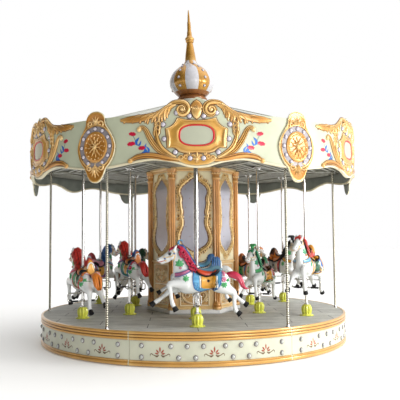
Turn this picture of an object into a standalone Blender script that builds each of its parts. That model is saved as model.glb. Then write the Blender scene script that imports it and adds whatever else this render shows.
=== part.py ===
"""Fairground carousel with twelve galloping horses, in metres, +Z up.

The origin is on the ground under the middle of the platform. Angle 0 looks along +Y from the front,
and angles grow towards +X, so a point at radius r and angle a is (r sin a, -r cos a).
Everything turns together on a fixed base, and each horse slides up and down on its own pole.
"""
import bpy
import bmesh
from math import cos, pi, radians, sin
from mathutils import Matrix, Vector

# Spacing between pieces that rest on each other, and how close points are welded into one
FIT = 0.0003
WELD = 0.00005
CUT_WELD = 0.000001
BORE_SPARE = 0.05

# Gap at each end of a skirt panel or canopy board, in degrees
BOARD_SPLIT = 0.004

# Platform
DECK_TOP = 0.400
DECK_BOTTOM = 0.340
DECK_RADIUS = 2.2145
SKIRT_INNER = DECK_RADIUS + 0.0005
SKIRT_BAND = 2.235
SKIRT_OUTER = 2.250
SKIRT_TOP = 0.405
SKIRT_UPPER_MOULD = 0.305
SKIRT_LOWER_MOULD = 0.075
SKIRT_CLEARANCE = 0.012
SKIRT_RIBS = 3
SKIRT_DIP = 0.008
SKIRT_STEP_UP = 0.001
SKIRT_PANELS = 7
SKIRT_STEPS = 8
SKIRT_SEAM = -21.1

# Fixed base under the platform
BASE_BEAM_HEIGHT = 0.120
BASE_BEAM_WIDTH = 0.100
BASE_REACH = 1.950
BASE_HUB_RADIUS = 0.260

# Repeats round the platform
SIDES = 6
HALF_SIDE = 180 / SIDES

# Floor guides that the horse poles run through
SOCKET_PROFILE = ((0.100, 0.000), (0.100, 0.018), (0.070, 0.034), (0.072, 0.128), (0.050, 0.150))
SOCKET_SIDES = 10
GUIDE_BORE = 0.0198
POLE_SIDES = 8

# Rim poles
RIM_POLE_AT = 2.180
RIM_POLE_RADIUS = 0.0175
RIM_FLANGE_RADIUS = 0.030
RIM_FLANGE_HEIGHT = 0.014

# Centre housing, a six-sided column with a turned post at each corner
HOUSING_TOP = 2.520
HOUSING_CORNER = 0.620
HOUSING_PLINTH = 0.710
PLINTH_HEIGHT = 0.060
HOUSING_CORNICE = 0.680
CORNICE_HEIGHT = 0.040
SEAT = 0.004
POST_AT = 0.640
POST_RADIUS = 0.044
POST_PROFILE = ((0.062, 0.00), (0.062, 0.07), (0.044, 0.11), (0.044, 1.95), (0.064, 2.03), (0.064, 2.06))
POST_SIDES = 8
PANEL_WIDTH = 0.480
PANEL_THICKNESS = 0.012
PANEL_LOW = 0.475
PANEL_HIGH = 2.470
DADO_LOW = 0.500
DADO_HIGH = 1.100
DADO_WIDTH = 0.400
RELIEF = 0.014
MIRROR_OUTLINE = ((0.000, 2.430), (0.085, 2.345), (0.150, 2.300), (0.215, 2.170), (0.195, 2.020), (0.125, 1.800),
                  (0.185, 1.590), (0.160, 1.460), (0.035, 1.280), (0.000, 1.180))

# Canopy
CEILING_BOTTOM = HOUSING_TOP + FIT
CEILING_HEIGHT = 0.040
CEILING_RADIUS = 2.3692
MAST_RADIUS = 0.055
MAST_CAP = 0.020
MAST_CAP_RADIUS = 0.230
MAST_SIDES = 12
FASCIA_INNER = 2.370
FASCIA_OUTER = 2.400
FASCIA_STEP = 2.5
CANOPY_STEPS = 36
MEDALLION_INNER = 2.4008
MEDALLION_OUTER = 2.440
MEDALLION_OFFSETS = (0.0, 1.25, 2.5, 3.7, 5.0, 7.0)
ROOF_RIM = 2.3692
ROOF_RIM_Z = 2.860
ROOF_NECK = 0.250
ROOF_NECK_Z = 3.550
ROOF_COLLAR = 0.244
ROOF_THICKNESS = 0.012
ROOF_CAP = 0.050

# Raised cartouche in the middle of each canopy board
CARTOUCHE_INNER = 2.392
CARTOUCHE_OUTER = 2.428
CARTOUCHE_OFFSETS = (0.0, 2.0, 4.0, 6.0, 8.0, 9.5, 10.5)

# Half outlines of the canopy pieces, as angle from the middle and height, with straight stretches between
CARTOUCHE_TOP = ((0.0, 2.930), (4.0, 2.955), (6.0, 2.930), (8.0, 2.880), (9.5, 2.815), (10.5, 2.720))
CARTOUCHE_BOTTOM = ((0.0, 2.335), (4.0, 2.380), (6.0, 2.415), (8.0, 2.455), (9.5, 2.520), (10.5, 2.610))
FASCIA_TOP = ((0.0, 3.095), (1.6, 3.062), (2.6, 3.045), (4.6, 3.060), (6.2, 3.045), (7.8, 2.995),
              (10.0, 2.940), (13.0, 2.915), (17.5, 2.905), (30.0, 2.900))
FASCIA_BOTTOM = ((0.0, 2.286), (2.5, 2.296), (4.5, 2.320), (6.5, 2.345), (9.5, 2.368), (13.0, 2.380),
                 (17.0, 2.360), (21.0, 2.335), (25.0, 2.315), (30.0, 2.305))
MEDALLION_TOP = ((0.0, 3.000), (1.5, 2.985), (2.6, 2.940), (3.3, 2.870), (4.8, 2.810), (6.2, 2.720), (7.0, 2.640))
MEDALLION_BOTTOM = ((0.0, 2.125), (1.2, 2.150), (2.2, 2.230), (3.4, 2.290), (5.0, 2.360), (6.3, 2.450), (7.0, 2.540))

# Dome and spire, as radius and height above the roof cap, leaning a little towards -X
LEAN = 0.038
DOME_BASE = ROOF_NECK_Z + ROOF_CAP + FIT
DOME_PROFILE = ((0.090, 0.640), (0.116, 0.592), (0.182, 0.546), (0.232, 0.503), (0.287, 0.446), (0.319, 0.389),
                (0.341, 0.325), (0.346, 0.270), (0.331, 0.222), (0.287, 0.162), (0.225, 0.095), (0.205, 0.080),
                (0.240, 0.055), (0.240, 0.000))
DOME_SIDES = 24
SPIRE_PROFILE = ((0.008, 1.470), (0.016, 1.406), (0.028, 1.293), (0.039, 1.078), (0.073, 1.020), (0.073, 0.985),
                 (0.047, 0.935), (0.064, 0.839), (0.080, 0.727), (0.088, 0.6403))
SPIRE_SIDES = 12

# Horses
OUTER_RING = 1.779
INNER_RING = 1.074
OUTER_LIFTS = (0.000, 0.120, 0.050, 0.020, 0.000, -0.030)
INNER_LIFTS = (0.050, -0.020, 0.000, 0.080, -0.030, 0.100)
POLE_RADIUS = 0.0185
POLE_LOW = 0.340
POLE_HIGH = 2.700
HORSE_MIDDLE = 0.950
INNER_SCALE = 0.900
LEG_OUT = 0.078
LEG_SIDES = 4
TORSO_SIDES = 8
HEAD_SIDES = 6
SADDLE_HALF = 0.105

# Horse facing -X with its pole on the Z axis, at the height of the front horse.
# Oval rings of the torso and head: middle x and z, half height, half width, heading in degrees
TORSO = ((0.400, 0.975, 0.055, 0.045, 0), (0.345, 0.975, 0.140, 0.110, 0), (0.230, 0.965, 0.165, 0.135, 0),
         (0.090, 0.948, 0.138, 0.132, 0), (-0.060, 0.945, 0.148, 0.132, 0), (-0.155, 0.965, 0.165, 0.122, 12),
         (-0.190, 1.030, 0.145, 0.100, 45), (-0.185, 1.130, 0.112, 0.070, 68), (-0.215, 1.235, 0.080, 0.055, 62),
         (-0.250, 1.305, 0.052, 0.045, 50))
HEAD = ((-0.225, 1.318, 0.040, 0.038, -25), (-0.285, 1.288, 0.075, 0.058, -25), (-0.350, 1.258, 0.058, 0.048, -25),
        (-0.425, 1.225, 0.042, 0.037, -25), (-0.485, 1.204, 0.032, 0.031, -25))
SADDLE = ((-0.020, 1.020), (-0.020, 1.118), (0.070, 1.095), (0.150, 1.100), (0.235, 1.235), (0.270, 1.225),
          (0.310, 1.130), (0.290, 1.020))

# Ear root and tip as x, half spacing and z
EAR_ROOT = (-0.262, 0.026, 1.330)
EAR_TIP = (-0.245, 0.034, 1.385)
EAR_RADIUS = 0.016
EAR_TIP_SHARE = 0.35

# Legs and tail as x, z and radius, each leg with the side it is on
LEGS = (
    (-1, ((-0.120, 0.920, 0.080), (-0.335, 0.925, 0.042), (-0.318, 0.790, 0.030), (-0.305, 0.675, 0.026),
          (-0.272, 0.635, 0.036))),
    (1, ((-0.120, 0.890, 0.080), (-0.325, 0.845, 0.042), (-0.425, 0.762, 0.030), (-0.500, 0.700, 0.026),
         (-0.540, 0.680, 0.034))),
    (-1, ((0.265, 0.920, 0.115), (0.425, 0.820, 0.050), (0.440, 0.700, 0.031), (0.455, 0.605, 0.027),
          (0.495, 0.575, 0.034))),
    (1, ((0.265, 0.920, 0.115), (0.420, 0.810, 0.050), (0.505, 0.735, 0.031), (0.560, 0.685, 0.027),
         (0.600, 0.660, 0.034))),
)
TAIL = ((0.360, 1.030, 0.030), (0.450, 1.035, 0.042), (0.525, 0.985, 0.046), (0.565, 0.890, 0.036),
        (0.610, 0.840, 0.014))

# Footrest loop under the belly
REST_HALF = 0.220
REST_LOW = 0.655
REST_HIGH = 0.785
REST_TUBE = 0.009
REST_CORNER = 0.035

# Colours from the photo
GOLD = (0.62, 0.36, 0.10)
CREAM = (0.80, 0.82, 0.64)
WHITE = (0.82, 0.83, 0.82)
GREY_DECK = (0.36, 0.36, 0.35)
YELLOW_GREEN = (0.62, 0.68, 0.10)
CHROME = (0.60, 0.59, 0.57)
GREY_GREEN = (0.46, 0.50, 0.44)
STEEL = (0.20, 0.21, 0.22)


def clear_scene():
    for obj in list(bpy.data.objects):
        bpy.data.objects.remove(obj, do_unlink=True)


def new_collection(name):
    collection = bpy.data.collections.new(name)
    bpy.context.scene.collection.children.link(collection)
    return collection


clear_scene()
PARTS = new_collection("carousel")
CUTTERS = new_collection("cutters")
CUTTERS.hide_render = True


def material(name, colour, roughness, metallic=0.0):
    mat = bpy.data.materials.new(name + "_finish")
    mat.use_nodes = True
    shader = mat.node_tree.nodes["Principled BSDF"]
    shader.inputs["Base Color"].default_value = (*colour, 1.0)
    shader.inputs["Roughness"].default_value = roughness
    shader.inputs["Metallic"].default_value = metallic
    return mat


def add_object(name, mesh, collection=PARTS):
    obj = bpy.data.objects.new(name, mesh)
    collection.objects.link(obj)
    return obj


def finish(obj, colour, roughness=0.5, metallic=0.0, smooth=True):
    obj.data.materials.clear()
    obj.data.materials.append(material(obj.name, colour, roughness, metallic))
    if smooth:
        obj.data.shade_smooth()
        obj.data.set_sharp_from_angle(angle=radians(35))
    return obj


def mesh_from(bm, name):
    bmesh.ops.recalc_face_normals(bm, faces=bm.faces)
    mesh = bpy.data.meshes.new(name)
    bm.to_mesh(mesh)
    bm.free()
    return mesh


def baked(obj, weld=WELD):
    """The object with its modifiers and curve settings turned into one plain mesh."""
    bpy.context.view_layer.update()
    graph = bpy.context.evaluated_depsgraph_get()
    mesh = bpy.data.meshes.new_from_object(obj.evaluated_get(graph))
    bm = bmesh.new()
    bm.from_mesh(mesh)
    bmesh.ops.remove_doubles(bm, verts=bm.verts, dist=weld)
    bm.to_mesh(mesh)
    bm.free()
    result = add_object(obj.name + "_solid", mesh)
    result.matrix_world = obj.matrix_world
    name = obj.name
    bpy.data.objects.remove(obj, do_unlink=True)
    result.name = name
    return result


def combine(target, others, operation="UNION"):
    """Join solids to the target, or cut them from it, and keep one closed body."""
    for other in others:
        step = target.modifiers.new("combine", "BOOLEAN")
        step.operation = operation
        step.solver = "EXACT"
        step.object = other
    result = baked(target, CUT_WELD)
    for other in others:
        bpy.data.objects.remove(other, do_unlink=True)
    return result


def round_place(radius, angle, z=0.0):
    return Vector((radius * sin(radians(angle)), -radius * cos(radians(angle)), z))


def stood_at(obj, radius, angle):
    """Put a piece round the platform in its mesh, so its origin stays on the axis that it turns about."""
    turn = Matrix.Rotation(radians(angle), 4, "Z")
    obj.data.transform(Matrix.Translation(round_place(radius, angle)) @ turn)
    return obj


def box(name, size, centre, turn=0.0):
    bm = bmesh.new()
    bmesh.ops.create_cube(bm, size=1.0)
    bmesh.ops.scale(bm, vec=size, verts=bm.verts)
    bmesh.ops.translate(bm, vec=centre, verts=bm.verts)
    bmesh.ops.rotate(bm, cent=(0, 0, 0), matrix=Matrix.Rotation(radians(turn), 3, "Z"), verts=bm.verts)
    return add_object(name, mesh_from(bm, name))


def cylinder(name, radius, low, high, sides, centre=(0, 0), turn=0.0, collection=PARTS):
    """An upright prism with its first corner at the back, on +Y, before the turn."""
    bm = bmesh.new()
    bmesh.ops.create_cone(bm, cap_ends=True, segments=sides, radius1=radius, radius2=radius, depth=high - low)
    bmesh.ops.rotate(bm, cent=(0, 0, 0), matrix=Matrix.Rotation(radians(turn), 3, "Z"), verts=bm.verts)
    bmesh.ops.translate(bm, vec=(centre[0], centre[1], (low + high) / 2), verts=bm.verts)
    return add_object(name, mesh_from(bm, name), collection)


def turned(name, profile, sides, closed=False):
    """A profile of radius and height, from the top down its outer side, turned a whole turn about Z."""
    points = list(profile)
    if not closed:
        points = [(0.0, points[0][1])] + points + [(0.0, points[-1][1])]
    mesh = bpy.data.meshes.new(name)
    edges = [(i, i + 1) for i in range(len(points) - 1)]
    if closed:
        edges.append((len(points) - 1, 0))
    mesh.from_pydata([(r, 0, z) for r, z in points], edges, [])
    obj = add_object(name, mesh)
    screw = obj.modifiers.new("turn", "SCREW")
    screw.steps = sides
    screw.render_steps = sides
    screw.use_merge_vertices = True
    screw.merge_threshold = WELD
    return baked(obj)


def arc_solid(name, profile, start, end, steps):
    """A closed profile of radius and height swept from one angle to another."""
    bm = bmesh.new()
    first = [bm.verts.new(round_place(r, start, z)) for r, z in profile]
    face = bm.faces.new(first)
    bmesh.ops.spin(bm, geom=[*first, *face.edges, face], cent=(0, 0, 0), axis=(0, 0, 1),
                   angle=radians(end - start), steps=steps, use_merge=False, use_duplicate=False)
    return add_object(name, mesh_from(bm, name))


def between(points, at):
    """Height of a half outline at a distance from its middle."""
    at = min(abs(at), points[-1][0])
    for (a0, z0), (a1, z1) in zip(points, points[1:]):
        if at <= a1:
            return z0 + (z1 - z0) * (at - a0) / (a1 - a0)
    return points[-1][1]


def both_ways(offsets):
    """Offsets from a middle, repeated on its other side."""
    return [-offset for offset in reversed(offsets[1:])] + list(offsets)


def curved_board(name, middle, offsets, top, bottom, inner, outer):
    """A board bent round the canopy, between an upper and a lower outline."""
    bm = bmesh.new()
    bmesh.ops.create_grid(bm, x_segments=len(offsets) - 1, y_segments=1, size=1.0)
    columns = sorted({round(v.co.x, 4) for v in bm.verts})
    for vert in bm.verts:
        offset = offsets[columns.index(round(vert.co.x, 4))]
        outline = top if vert.co.y > 0 else bottom
        vert.co = round_place(inner, middle + offset, between(outline, offset))
    made = bmesh.ops.extrude_face_region(bm, geom=list(bm.faces), use_keep_orig=True)
    for vert in [item for item in made["geom"] if isinstance(item, bmesh.types.BMVert)]:
        flat = Vector((vert.co.x, vert.co.y, 0))
        vert.co += flat.normalized() * (outer - inner)
    return add_object(name, mesh_from(bm, name))


def tube(name, points, radius, scales=None, sides=6, cyclic=False):
    """A round bar along points, with its own thickness at each point."""
    curve = bpy.data.curves.new(name, "CURVE")
    curve.dimensions = "3D"
    curve.bevel_depth = radius
    curve.bevel_resolution = sides // 2 - 2
    curve.use_fill_caps = not cyclic
    spline = curve.splines.new("POLY")
    spline.points.add(len(points) - 1)
    spline.use_cyclic_u = cyclic
    for index, point in enumerate(points):
        spline.points[index].co = (*point, 1.0)
        spline.points[index].radius = scales[index] if scales else 1.0
    return baked(add_object(name, curve))


def loft(name, rings, sides):
    """Oval rings in the XZ plane's path: middle x and z, half height, half width, heading in degrees."""
    bm = bmesh.new()
    loops = []
    for x, z, height, width, heading in rings:
        across = Vector((sin(radians(heading)), 0, cos(radians(heading))))
        turns = [2 * pi * (i + 0.5) / sides for i in range(sides)]
        loops.append([bm.verts.new(Vector((x, 0, z)) + across * height * sin(t) + Vector((0, width * cos(t), 0)))
                      for t in turns])
    for loop, following in zip(loops, loops[1:]):
        for i in range(sides):
            j = (i + 1) % sides
            bm.faces.new((loop[i], loop[j], following[j], following[i]))
    bm.faces.new(loops[0])
    bm.faces.new(loops[-1])
    return add_object(name, mesh_from(bm, name))


def side_plate(name, outline, half_width):
    """A flat outline in the XZ plane given thickness along Y."""
    bm = bmesh.new()
    face = bm.faces.new([bm.verts.new((x, -half_width, z)) for x, z in outline])
    made = bmesh.ops.extrude_face_region(bm, geom=[face], use_keep_orig=True)
    moved = [item for item in made["geom"] if isinstance(item, bmesh.types.BMVert)]
    bmesh.ops.translate(bm, vec=(0, 2 * half_width, 0), verts=moved)
    return add_object(name, mesh_from(bm, name))


def lean(obj):
    """Shift the dome and spire sideways with height, as they stand in the photo."""
    for vert in obj.data.vertices:
        vert.co.x -= LEAN * (vert.co.z - DOME_BASE)


def make_base():
    hub = cylinder("base_frame", BASE_HUB_RADIUS, 0.0, DECK_BOTTOM - FIT, 12, (0, 0), 360 / 24)
    size = (2 * BASE_REACH, BASE_BEAM_WIDTH, BASE_BEAM_HEIGHT)
    beams = [box("beam", size, (0, 0, BASE_BEAM_HEIGHT / 2), index * 360 / SIDES) for index in range(SIDES // 2)]
    return finish(combine(hub, beams), STEEL, 0.6, 0.6)


def pole_bores(low, high):
    """Cutters for the twelve horse poles, each turned with its horse."""
    bores = []
    for radius in (OUTER_RING, INNER_RING):
        for index in range(SIDES):
            angle = index * 360 / SIDES
            bore = cylinder("bore", GUIDE_BORE, low, high, POLE_SIDES, round_place(radius, angle).xy, angle, CUTTERS)
            bore.display_type = "WIRE"
            bore.hide_render = True
            bores.append(bore)
    return bores


def make_deck():
    sides = SKIRT_PANELS * SKIRT_STEPS
    deck = cylinder("platform_deck", DECK_RADIUS, DECK_BOTTOM, DECK_TOP, sides, (0, 0), SKIRT_SEAM + 180)
    bores = pole_bores(DECK_BOTTOM - BORE_SPARE, DECK_TOP + BORE_SPARE)
    finish(combine(deck, bores, "DIFFERENCE"), GREY_DECK, 0.8)


def make_floor_guides():
    low = DECK_TOP + FIT
    outer = [(r, low + h) for r, h in reversed(SOCKET_PROFILE)]
    profile = [(GUIDE_BORE, outer[0][1]), *outer, (GUIDE_BORE, low)]
    for ring_name, radius in (("outer", OUTER_RING), ("inner", INNER_RING)):
        for index in range(SIDES):
            angle = index * 360 / SIDES
            guide = turned(f"floor_guide_{ring_name}_{index + 1}", profile, SOCKET_SIDES, closed=True)
            finish(stood_at(guide, radius, angle), YELLOW_GREEN, 0.4)


def make_skirt():
    rib = (SKIRT_TOP - SKIRT_UPPER_MOULD) / SKIRT_RIBS
    profile = [(SKIRT_INNER, SKIRT_CLEARANCE), (SKIRT_OUTER, SKIRT_CLEARANCE), (SKIRT_OUTER, SKIRT_LOWER_MOULD),
               (SKIRT_BAND, SKIRT_LOWER_MOULD), (SKIRT_BAND, SKIRT_UPPER_MOULD)]
    for index in range(SKIRT_RIBS):
        low = SKIRT_UPPER_MOULD + index * rib
        profile += [(SKIRT_OUTER - SKIRT_DIP, low + SKIRT_STEP_UP), (SKIRT_OUTER, low + rib / 2)]
    profile += [(SKIRT_OUTER - SKIRT_DIP, SKIRT_TOP), (SKIRT_INNER, SKIRT_TOP)]
    sector = 360 / SKIRT_PANELS
    for index in range(SKIRT_PANELS):
        start = SKIRT_SEAM + index * sector + BOARD_SPLIT
        end = SKIRT_SEAM + (index + 1) * sector - BOARD_SPLIT
        finish(arc_solid(f"skirt_panel_{index + 1}", profile, start, end, SKIRT_STEPS), CREAM, 0.45)


def make_rim_poles():
    top = CEILING_BOTTOM - FIT
    low = DECK_TOP + FIT
    profile = [(RIM_POLE_RADIUS, top), (RIM_POLE_RADIUS, low + RIM_FLANGE_HEIGHT),
               (RIM_FLANGE_RADIUS, low + RIM_FLANGE_HEIGHT), (RIM_FLANGE_RADIUS, low)]
    for index in range(SIDES):
        pole = turned(f"rim_pole_{index + 1}", profile, POLE_SIDES)
        finish(stood_at(pole, RIM_POLE_AT, HALF_SIDE + index * 360 / SIDES), CHROME, 0.25, 1.0)


def outline_solid(name, outline, low, high):
    """A flat 2D curve in the XZ plane, standing out from low to high along -Y."""
    curve = bpy.data.curves.new(name, "CURVE")
    curve.dimensions = "2D"
    curve.fill_mode = "BOTH"
    curve.extrude = (high - low) / 2
    spline = curve.splines.new("POLY")
    spline.points.add(len(outline) - 1)
    spline.use_cyclic_u = True
    for index, (x, z) in enumerate(outline):
        spline.points[index].co = (x, z, 0, 1)
    obj = add_object(name, curve)
    obj.matrix_world = Matrix.Translation((0, -(low + high) / 2, 0)) @ Matrix.Rotation(pi / 2, 4, "X")
    return baked(obj)


def mirrored(half):
    return list(half) + [(-x, z) for x, z in reversed(half) if x > 0]


def centre_panel(angle):
    """Board on one face of the housing, with its lower relief and its mirror standing out from it."""
    apothem = HOUSING_CORNER * cos(pi / SIDES)
    face = apothem + PANEL_THICKNESS
    middle = (PANEL_LOW + PANEL_HIGH) / 2
    board = box("board", (PANEL_WIDTH, PANEL_THICKNESS + SEAT, PANEL_HIGH - PANEL_LOW),
                (0, -(face - (PANEL_THICKNESS + SEAT) / 2), middle))
    dado = box("dado", (DADO_WIDTH, RELIEF + SEAT, DADO_HIGH - DADO_LOW),
               (0, -(face + (RELIEF - SEAT) / 2), (DADO_LOW + DADO_HIGH) / 2))
    mirror = outline_solid("mirror", mirrored(MIRROR_OUTLINE), face - SEAT, face + RELIEF)
    panel = combine(board, [dado, mirror])
    panel.matrix_world = Matrix.Rotation(radians(angle), 4, "Z")
    return panel


def make_housing():
    low = DECK_TOP + FIT
    core = cylinder("centre_housing", HOUSING_CORNER, low, HOUSING_TOP, SIDES, (0, 0), HALF_SIDE)
    joined = [cylinder("plinth", HOUSING_PLINTH, low, low + PLINTH_HEIGHT, SIDES, (0, 0), HALF_SIDE),
              cylinder("cornice", HOUSING_CORNICE, HOUSING_TOP - CORNICE_HEIGHT, HOUSING_TOP, SIDES, (0, 0), HALF_SIDE)]
    profile = [(r, low + PLINTH_HEIGHT - SEAT + h) for r, h in reversed(POST_PROFILE)]
    for index in range(SIDES):
        post = turned("post", profile, POST_SIDES)
        post.location = round_place(POST_AT, HALF_SIDE + index * 360 / SIDES)
        joined.append(post)
        joined.append(centre_panel(index * 360 / SIDES))
    bpy.context.view_layer.update()
    finish(combine(core, joined), GOLD, 0.4, 0.3)


def make_ceiling():
    low = CEILING_BOTTOM
    top = low + CEILING_HEIGHT
    ceiling = cylinder("canopy_ceiling", CEILING_RADIUS, low, top, CANOPY_STEPS)
    bores = pole_bores(low - BORE_SPARE, top + BORE_SPARE)
    finish(combine(ceiling, bores, "DIFFERENCE"), GREY_GREEN, 0.6)
    neck = ROOF_NECK_Z - MAST_CAP - FIT
    profile = [(MAST_CAP_RADIUS, ROOF_NECK_Z - FIT), (MAST_CAP_RADIUS, neck), (MAST_RADIUS, neck),
               (MAST_RADIUS, top + FIT)]
    finish(turned("roof_mast", profile, MAST_SIDES), STEEL, 0.6, 0.6)


def make_fascia():
    sector = 360 / SIDES
    count = int(sector / FASCIA_STEP)
    offsets = [-HALF_SIDE + FASCIA_STEP * i for i in range(count + 1)]
    offsets[0] += BOARD_SPLIT
    offsets[-1] -= BOARD_SPLIT
    for index in range(SIDES):
        board = curved_board(f"fascia_panel_{index + 1}", index * sector, offsets, FASCIA_TOP, FASCIA_BOTTOM,
                             FASCIA_INNER, FASCIA_OUTER)
        raised = curved_board("cartouche", index * sector, both_ways(CARTOUCHE_OFFSETS), CARTOUCHE_TOP,
                              CARTOUCHE_BOTTOM, CARTOUCHE_INNER, CARTOUCHE_OUTER)
        finish(combine(board, [raised]), CREAM, 0.4)
    for index in range(SIDES):
        board = curved_board(f"fascia_medallion_{index + 1}", HALF_SIDE + index * sector,
                             both_ways(MEDALLION_OFFSETS), MEDALLION_TOP, MEDALLION_BOTTOM, MEDALLION_INNER,
                             MEDALLION_OUTER)
        finish(board, GOLD, 0.35, 0.4)


def make_roof():
    profile = [(0.0, ROOF_NECK_Z + ROOF_CAP), (ROOF_NECK, ROOF_NECK_Z + ROOF_CAP), (ROOF_NECK, ROOF_NECK_Z),
               (ROOF_RIM, ROOF_RIM_Z), (ROOF_RIM, ROOF_RIM_Z - ROOF_THICKNESS),
               (ROOF_COLLAR, ROOF_NECK_Z - ROOF_THICKNESS), (ROOF_COLLAR, ROOF_NECK_Z), (0.0, ROOF_NECK_Z)]
    return finish(turned("canopy_roof", profile, CANOPY_STEPS), GREY_GREEN, 0.6)


def make_dome():
    dome = turned("dome", [(r, DOME_BASE + h) for r, h in DOME_PROFILE], DOME_SIDES)
    spire = turned("spire", [(r, DOME_BASE + h) for r, h in SPIRE_PROFILE], SPIRE_SIDES)
    for obj, tone in ((dome, WHITE), (spire, GOLD)):
        lean(obj)
        finish(obj, tone, 0.35, 0.2)


def rounded_loop(half_width, low, high, corner, steps):
    """Corner points of an upright rounded rectangle in the YZ plane."""
    points = []
    for index, (side, z) in enumerate(((1, high), (-1, high), (-1, low), (1, low))):
        middle = (side * (half_width - corner), z - corner if z == high else z + corner)
        for step in range(steps + 1):
            turn = pi / 2 * (index + step / steps)
            points.append((0.0, middle[0] + corner * cos(turn), middle[1] + corner * sin(turn)))
    return points


def make_horse_mesh(scale):
    """One horse with its footrests, at a scale about the middle of its body, on a full-size pole."""
    body = loft("horse", TORSO, TORSO_SIDES)
    joined = [loft("head", HEAD, HEAD_SIDES), side_plate("saddle", SADDLE, SADDLE_HALF)]
    for side in (-1, 1):
        ends = [(x, side * y, z) for x, y, z in (EAR_ROOT, EAR_TIP)]
        joined.append(tube("ear", ends, EAR_RADIUS, [1.0, EAR_TIP_SHARE], LEG_SIDES))
    for side, line in LEGS:
        points = [(x, side * LEG_OUT, z) for x, z, r in line]
        joined.append(tube("leg", points, 1.0, [r for x, z, r in line], LEG_SIDES))
    joined.append(tube("tail", [(x, 0, z) for x, z, r in TAIL], 1.0, [r for x, z, r in TAIL], LEG_SIDES))
    loop = rounded_loop(REST_HALF, REST_LOW, REST_HIGH, REST_CORNER, 1)
    joined.append(tube("rest", loop, REST_TUBE, None, LEG_SIDES, True))
    horse = combine(body, joined)
    middle = Vector((0, 0, HORSE_MIDDLE))
    for vert in horse.data.vertices:
        vert.co = middle + (vert.co - middle) * scale
    horse = combine(horse, [cylinder("pole", POLE_RADIUS, POLE_LOW, POLE_HIGH, POLE_SIDES)])
    mesh = horse.data
    bpy.data.objects.remove(horse, do_unlink=True)
    return mesh


def make_horses():
    rings = (("outer", OUTER_RING, OUTER_LIFTS, 1.0), ("inner", INNER_RING, INNER_LIFTS, INNER_SCALE))
    for ring_name, radius, lifts, scale in rings:
        mould = make_horse_mesh(scale)
        for index, rise in enumerate(lifts):
            angle = index * 360 / SIDES
            horse = add_object(f"horse_{ring_name}_{index + 1}", mould.copy())
            horse.location = round_place(radius, angle, rise)
            horse.rotation_euler = (0, 0, radians(angle))
            finish(horse, WHITE, 0.3)


make_base()
make_deck()
make_floor_guides()
make_skirt()
make_rim_poles()
make_housing()
make_ceiling()
make_fascia()
make_roof()
make_dome()
make_horses()
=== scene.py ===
"""Looks of a twelve-horse fairground carousel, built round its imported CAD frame, +Z up.

Shapes are drawn in millimetres and become metres when build() makes their meshes.
"""
from math import cos, degrees, pi, radians, sin

import bmesh
import bpy
import numpy as np
from mathutils import Matrix, Vector
from mathutils.bvhtree import BVHTree


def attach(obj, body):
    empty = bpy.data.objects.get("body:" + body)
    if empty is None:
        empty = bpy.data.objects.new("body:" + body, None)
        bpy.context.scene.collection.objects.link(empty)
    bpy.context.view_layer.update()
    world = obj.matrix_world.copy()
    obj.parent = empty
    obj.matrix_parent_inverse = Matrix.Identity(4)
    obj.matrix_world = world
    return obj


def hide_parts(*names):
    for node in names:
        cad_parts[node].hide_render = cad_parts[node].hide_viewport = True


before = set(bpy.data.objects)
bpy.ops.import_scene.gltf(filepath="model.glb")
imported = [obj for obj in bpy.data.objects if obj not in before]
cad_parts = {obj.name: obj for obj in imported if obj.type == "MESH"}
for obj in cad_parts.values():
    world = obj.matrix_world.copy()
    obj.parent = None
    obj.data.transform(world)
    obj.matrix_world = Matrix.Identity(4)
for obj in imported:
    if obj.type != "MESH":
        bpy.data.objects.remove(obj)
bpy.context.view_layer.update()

# Sizes that the CAD parts have too
SIDES = 6
HALF_SIDE = 30
BOARD_R = 2400
SKIRT_BAND = 2235
SKIRT_SEAM = -21.1
SKIRT_PANELS = 7
DECK_TOP = 400.3
OUTER_RING = 1779
INNER_RING = 1074
RIM_RING = 2180
FACE = 620 * cos(pi / 6) + 12
DOME_BASE = 3600.3
LEAN = 0.038
OUTER_LIFTS = (0, 120, 50, 20, 0, -30)
INNER_LIFTS = (50, -20, 0, 80, -30, 100)
INNER_SCALE = 0.9
HORSE_MIDDLE = 950

# Cross sections of raised work, as sideways and height shares
ROUND = ((-1, 0), (-0.85, 0.55), (-0.5, 0.88), (0, 1), (0.5, 0.88), (0.85, 0.55), (1, 0))
RIDGE = ((-1, 0), (-0.9, 0.35), (-0.45, 0.42), (0, 1), (0.45, 0.42), (0.9, 0.35), (1, 0))
FLAT = ((-1, 0), (-0.93, 0.85), (-0.6, 1), (0.6, 1), (0.93, 0.85), (1, 0))
GROOVED = ((-1, 0), (-0.92, 0.55), (-0.74, 0.8), (-0.55, 0.78), (-0.42, 0.42), (-0.28, 0.80), (0.1, 1),
           (0.55, 0.95), (0.88, 0.6), (1, 0))
TRIPLE = ((-1, 0), (-0.93, 0.6), (-0.72, 0.85), (-0.5, 0.7), (-0.38, 0.38), (-0.24, 0.8), (0, 1), (0.24, 0.8),
          (0.38, 0.38), (0.5, 0.7), (0.72, 0.85), (0.93, 0.6), (1, 0))

# Gilt relief has a flat umber sheet round its foot: a painted shadow
GILT_KINDS = (0, 1)
SHADOW_LINE_WIDTH = 6
SHADOW_LINE_HEIGHT = 1.6
SHADOW_MARGIN = 10
# How deep raised work runs into the surface under it
SINK = 4

# What is drawn for the right half is turned over for the left half, or the other way round
FLIPS = (np.array((-1.0, 1.0)), np.array((1.0, 1.0)))


# Materials

def node(tree, kind, **values):
    made = tree.nodes.new(kind)
    for key, value in values.items():
        if key in made.inputs:
            made.inputs[key].default_value = value
        else:
            setattr(made, key, value)
    return made


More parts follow.
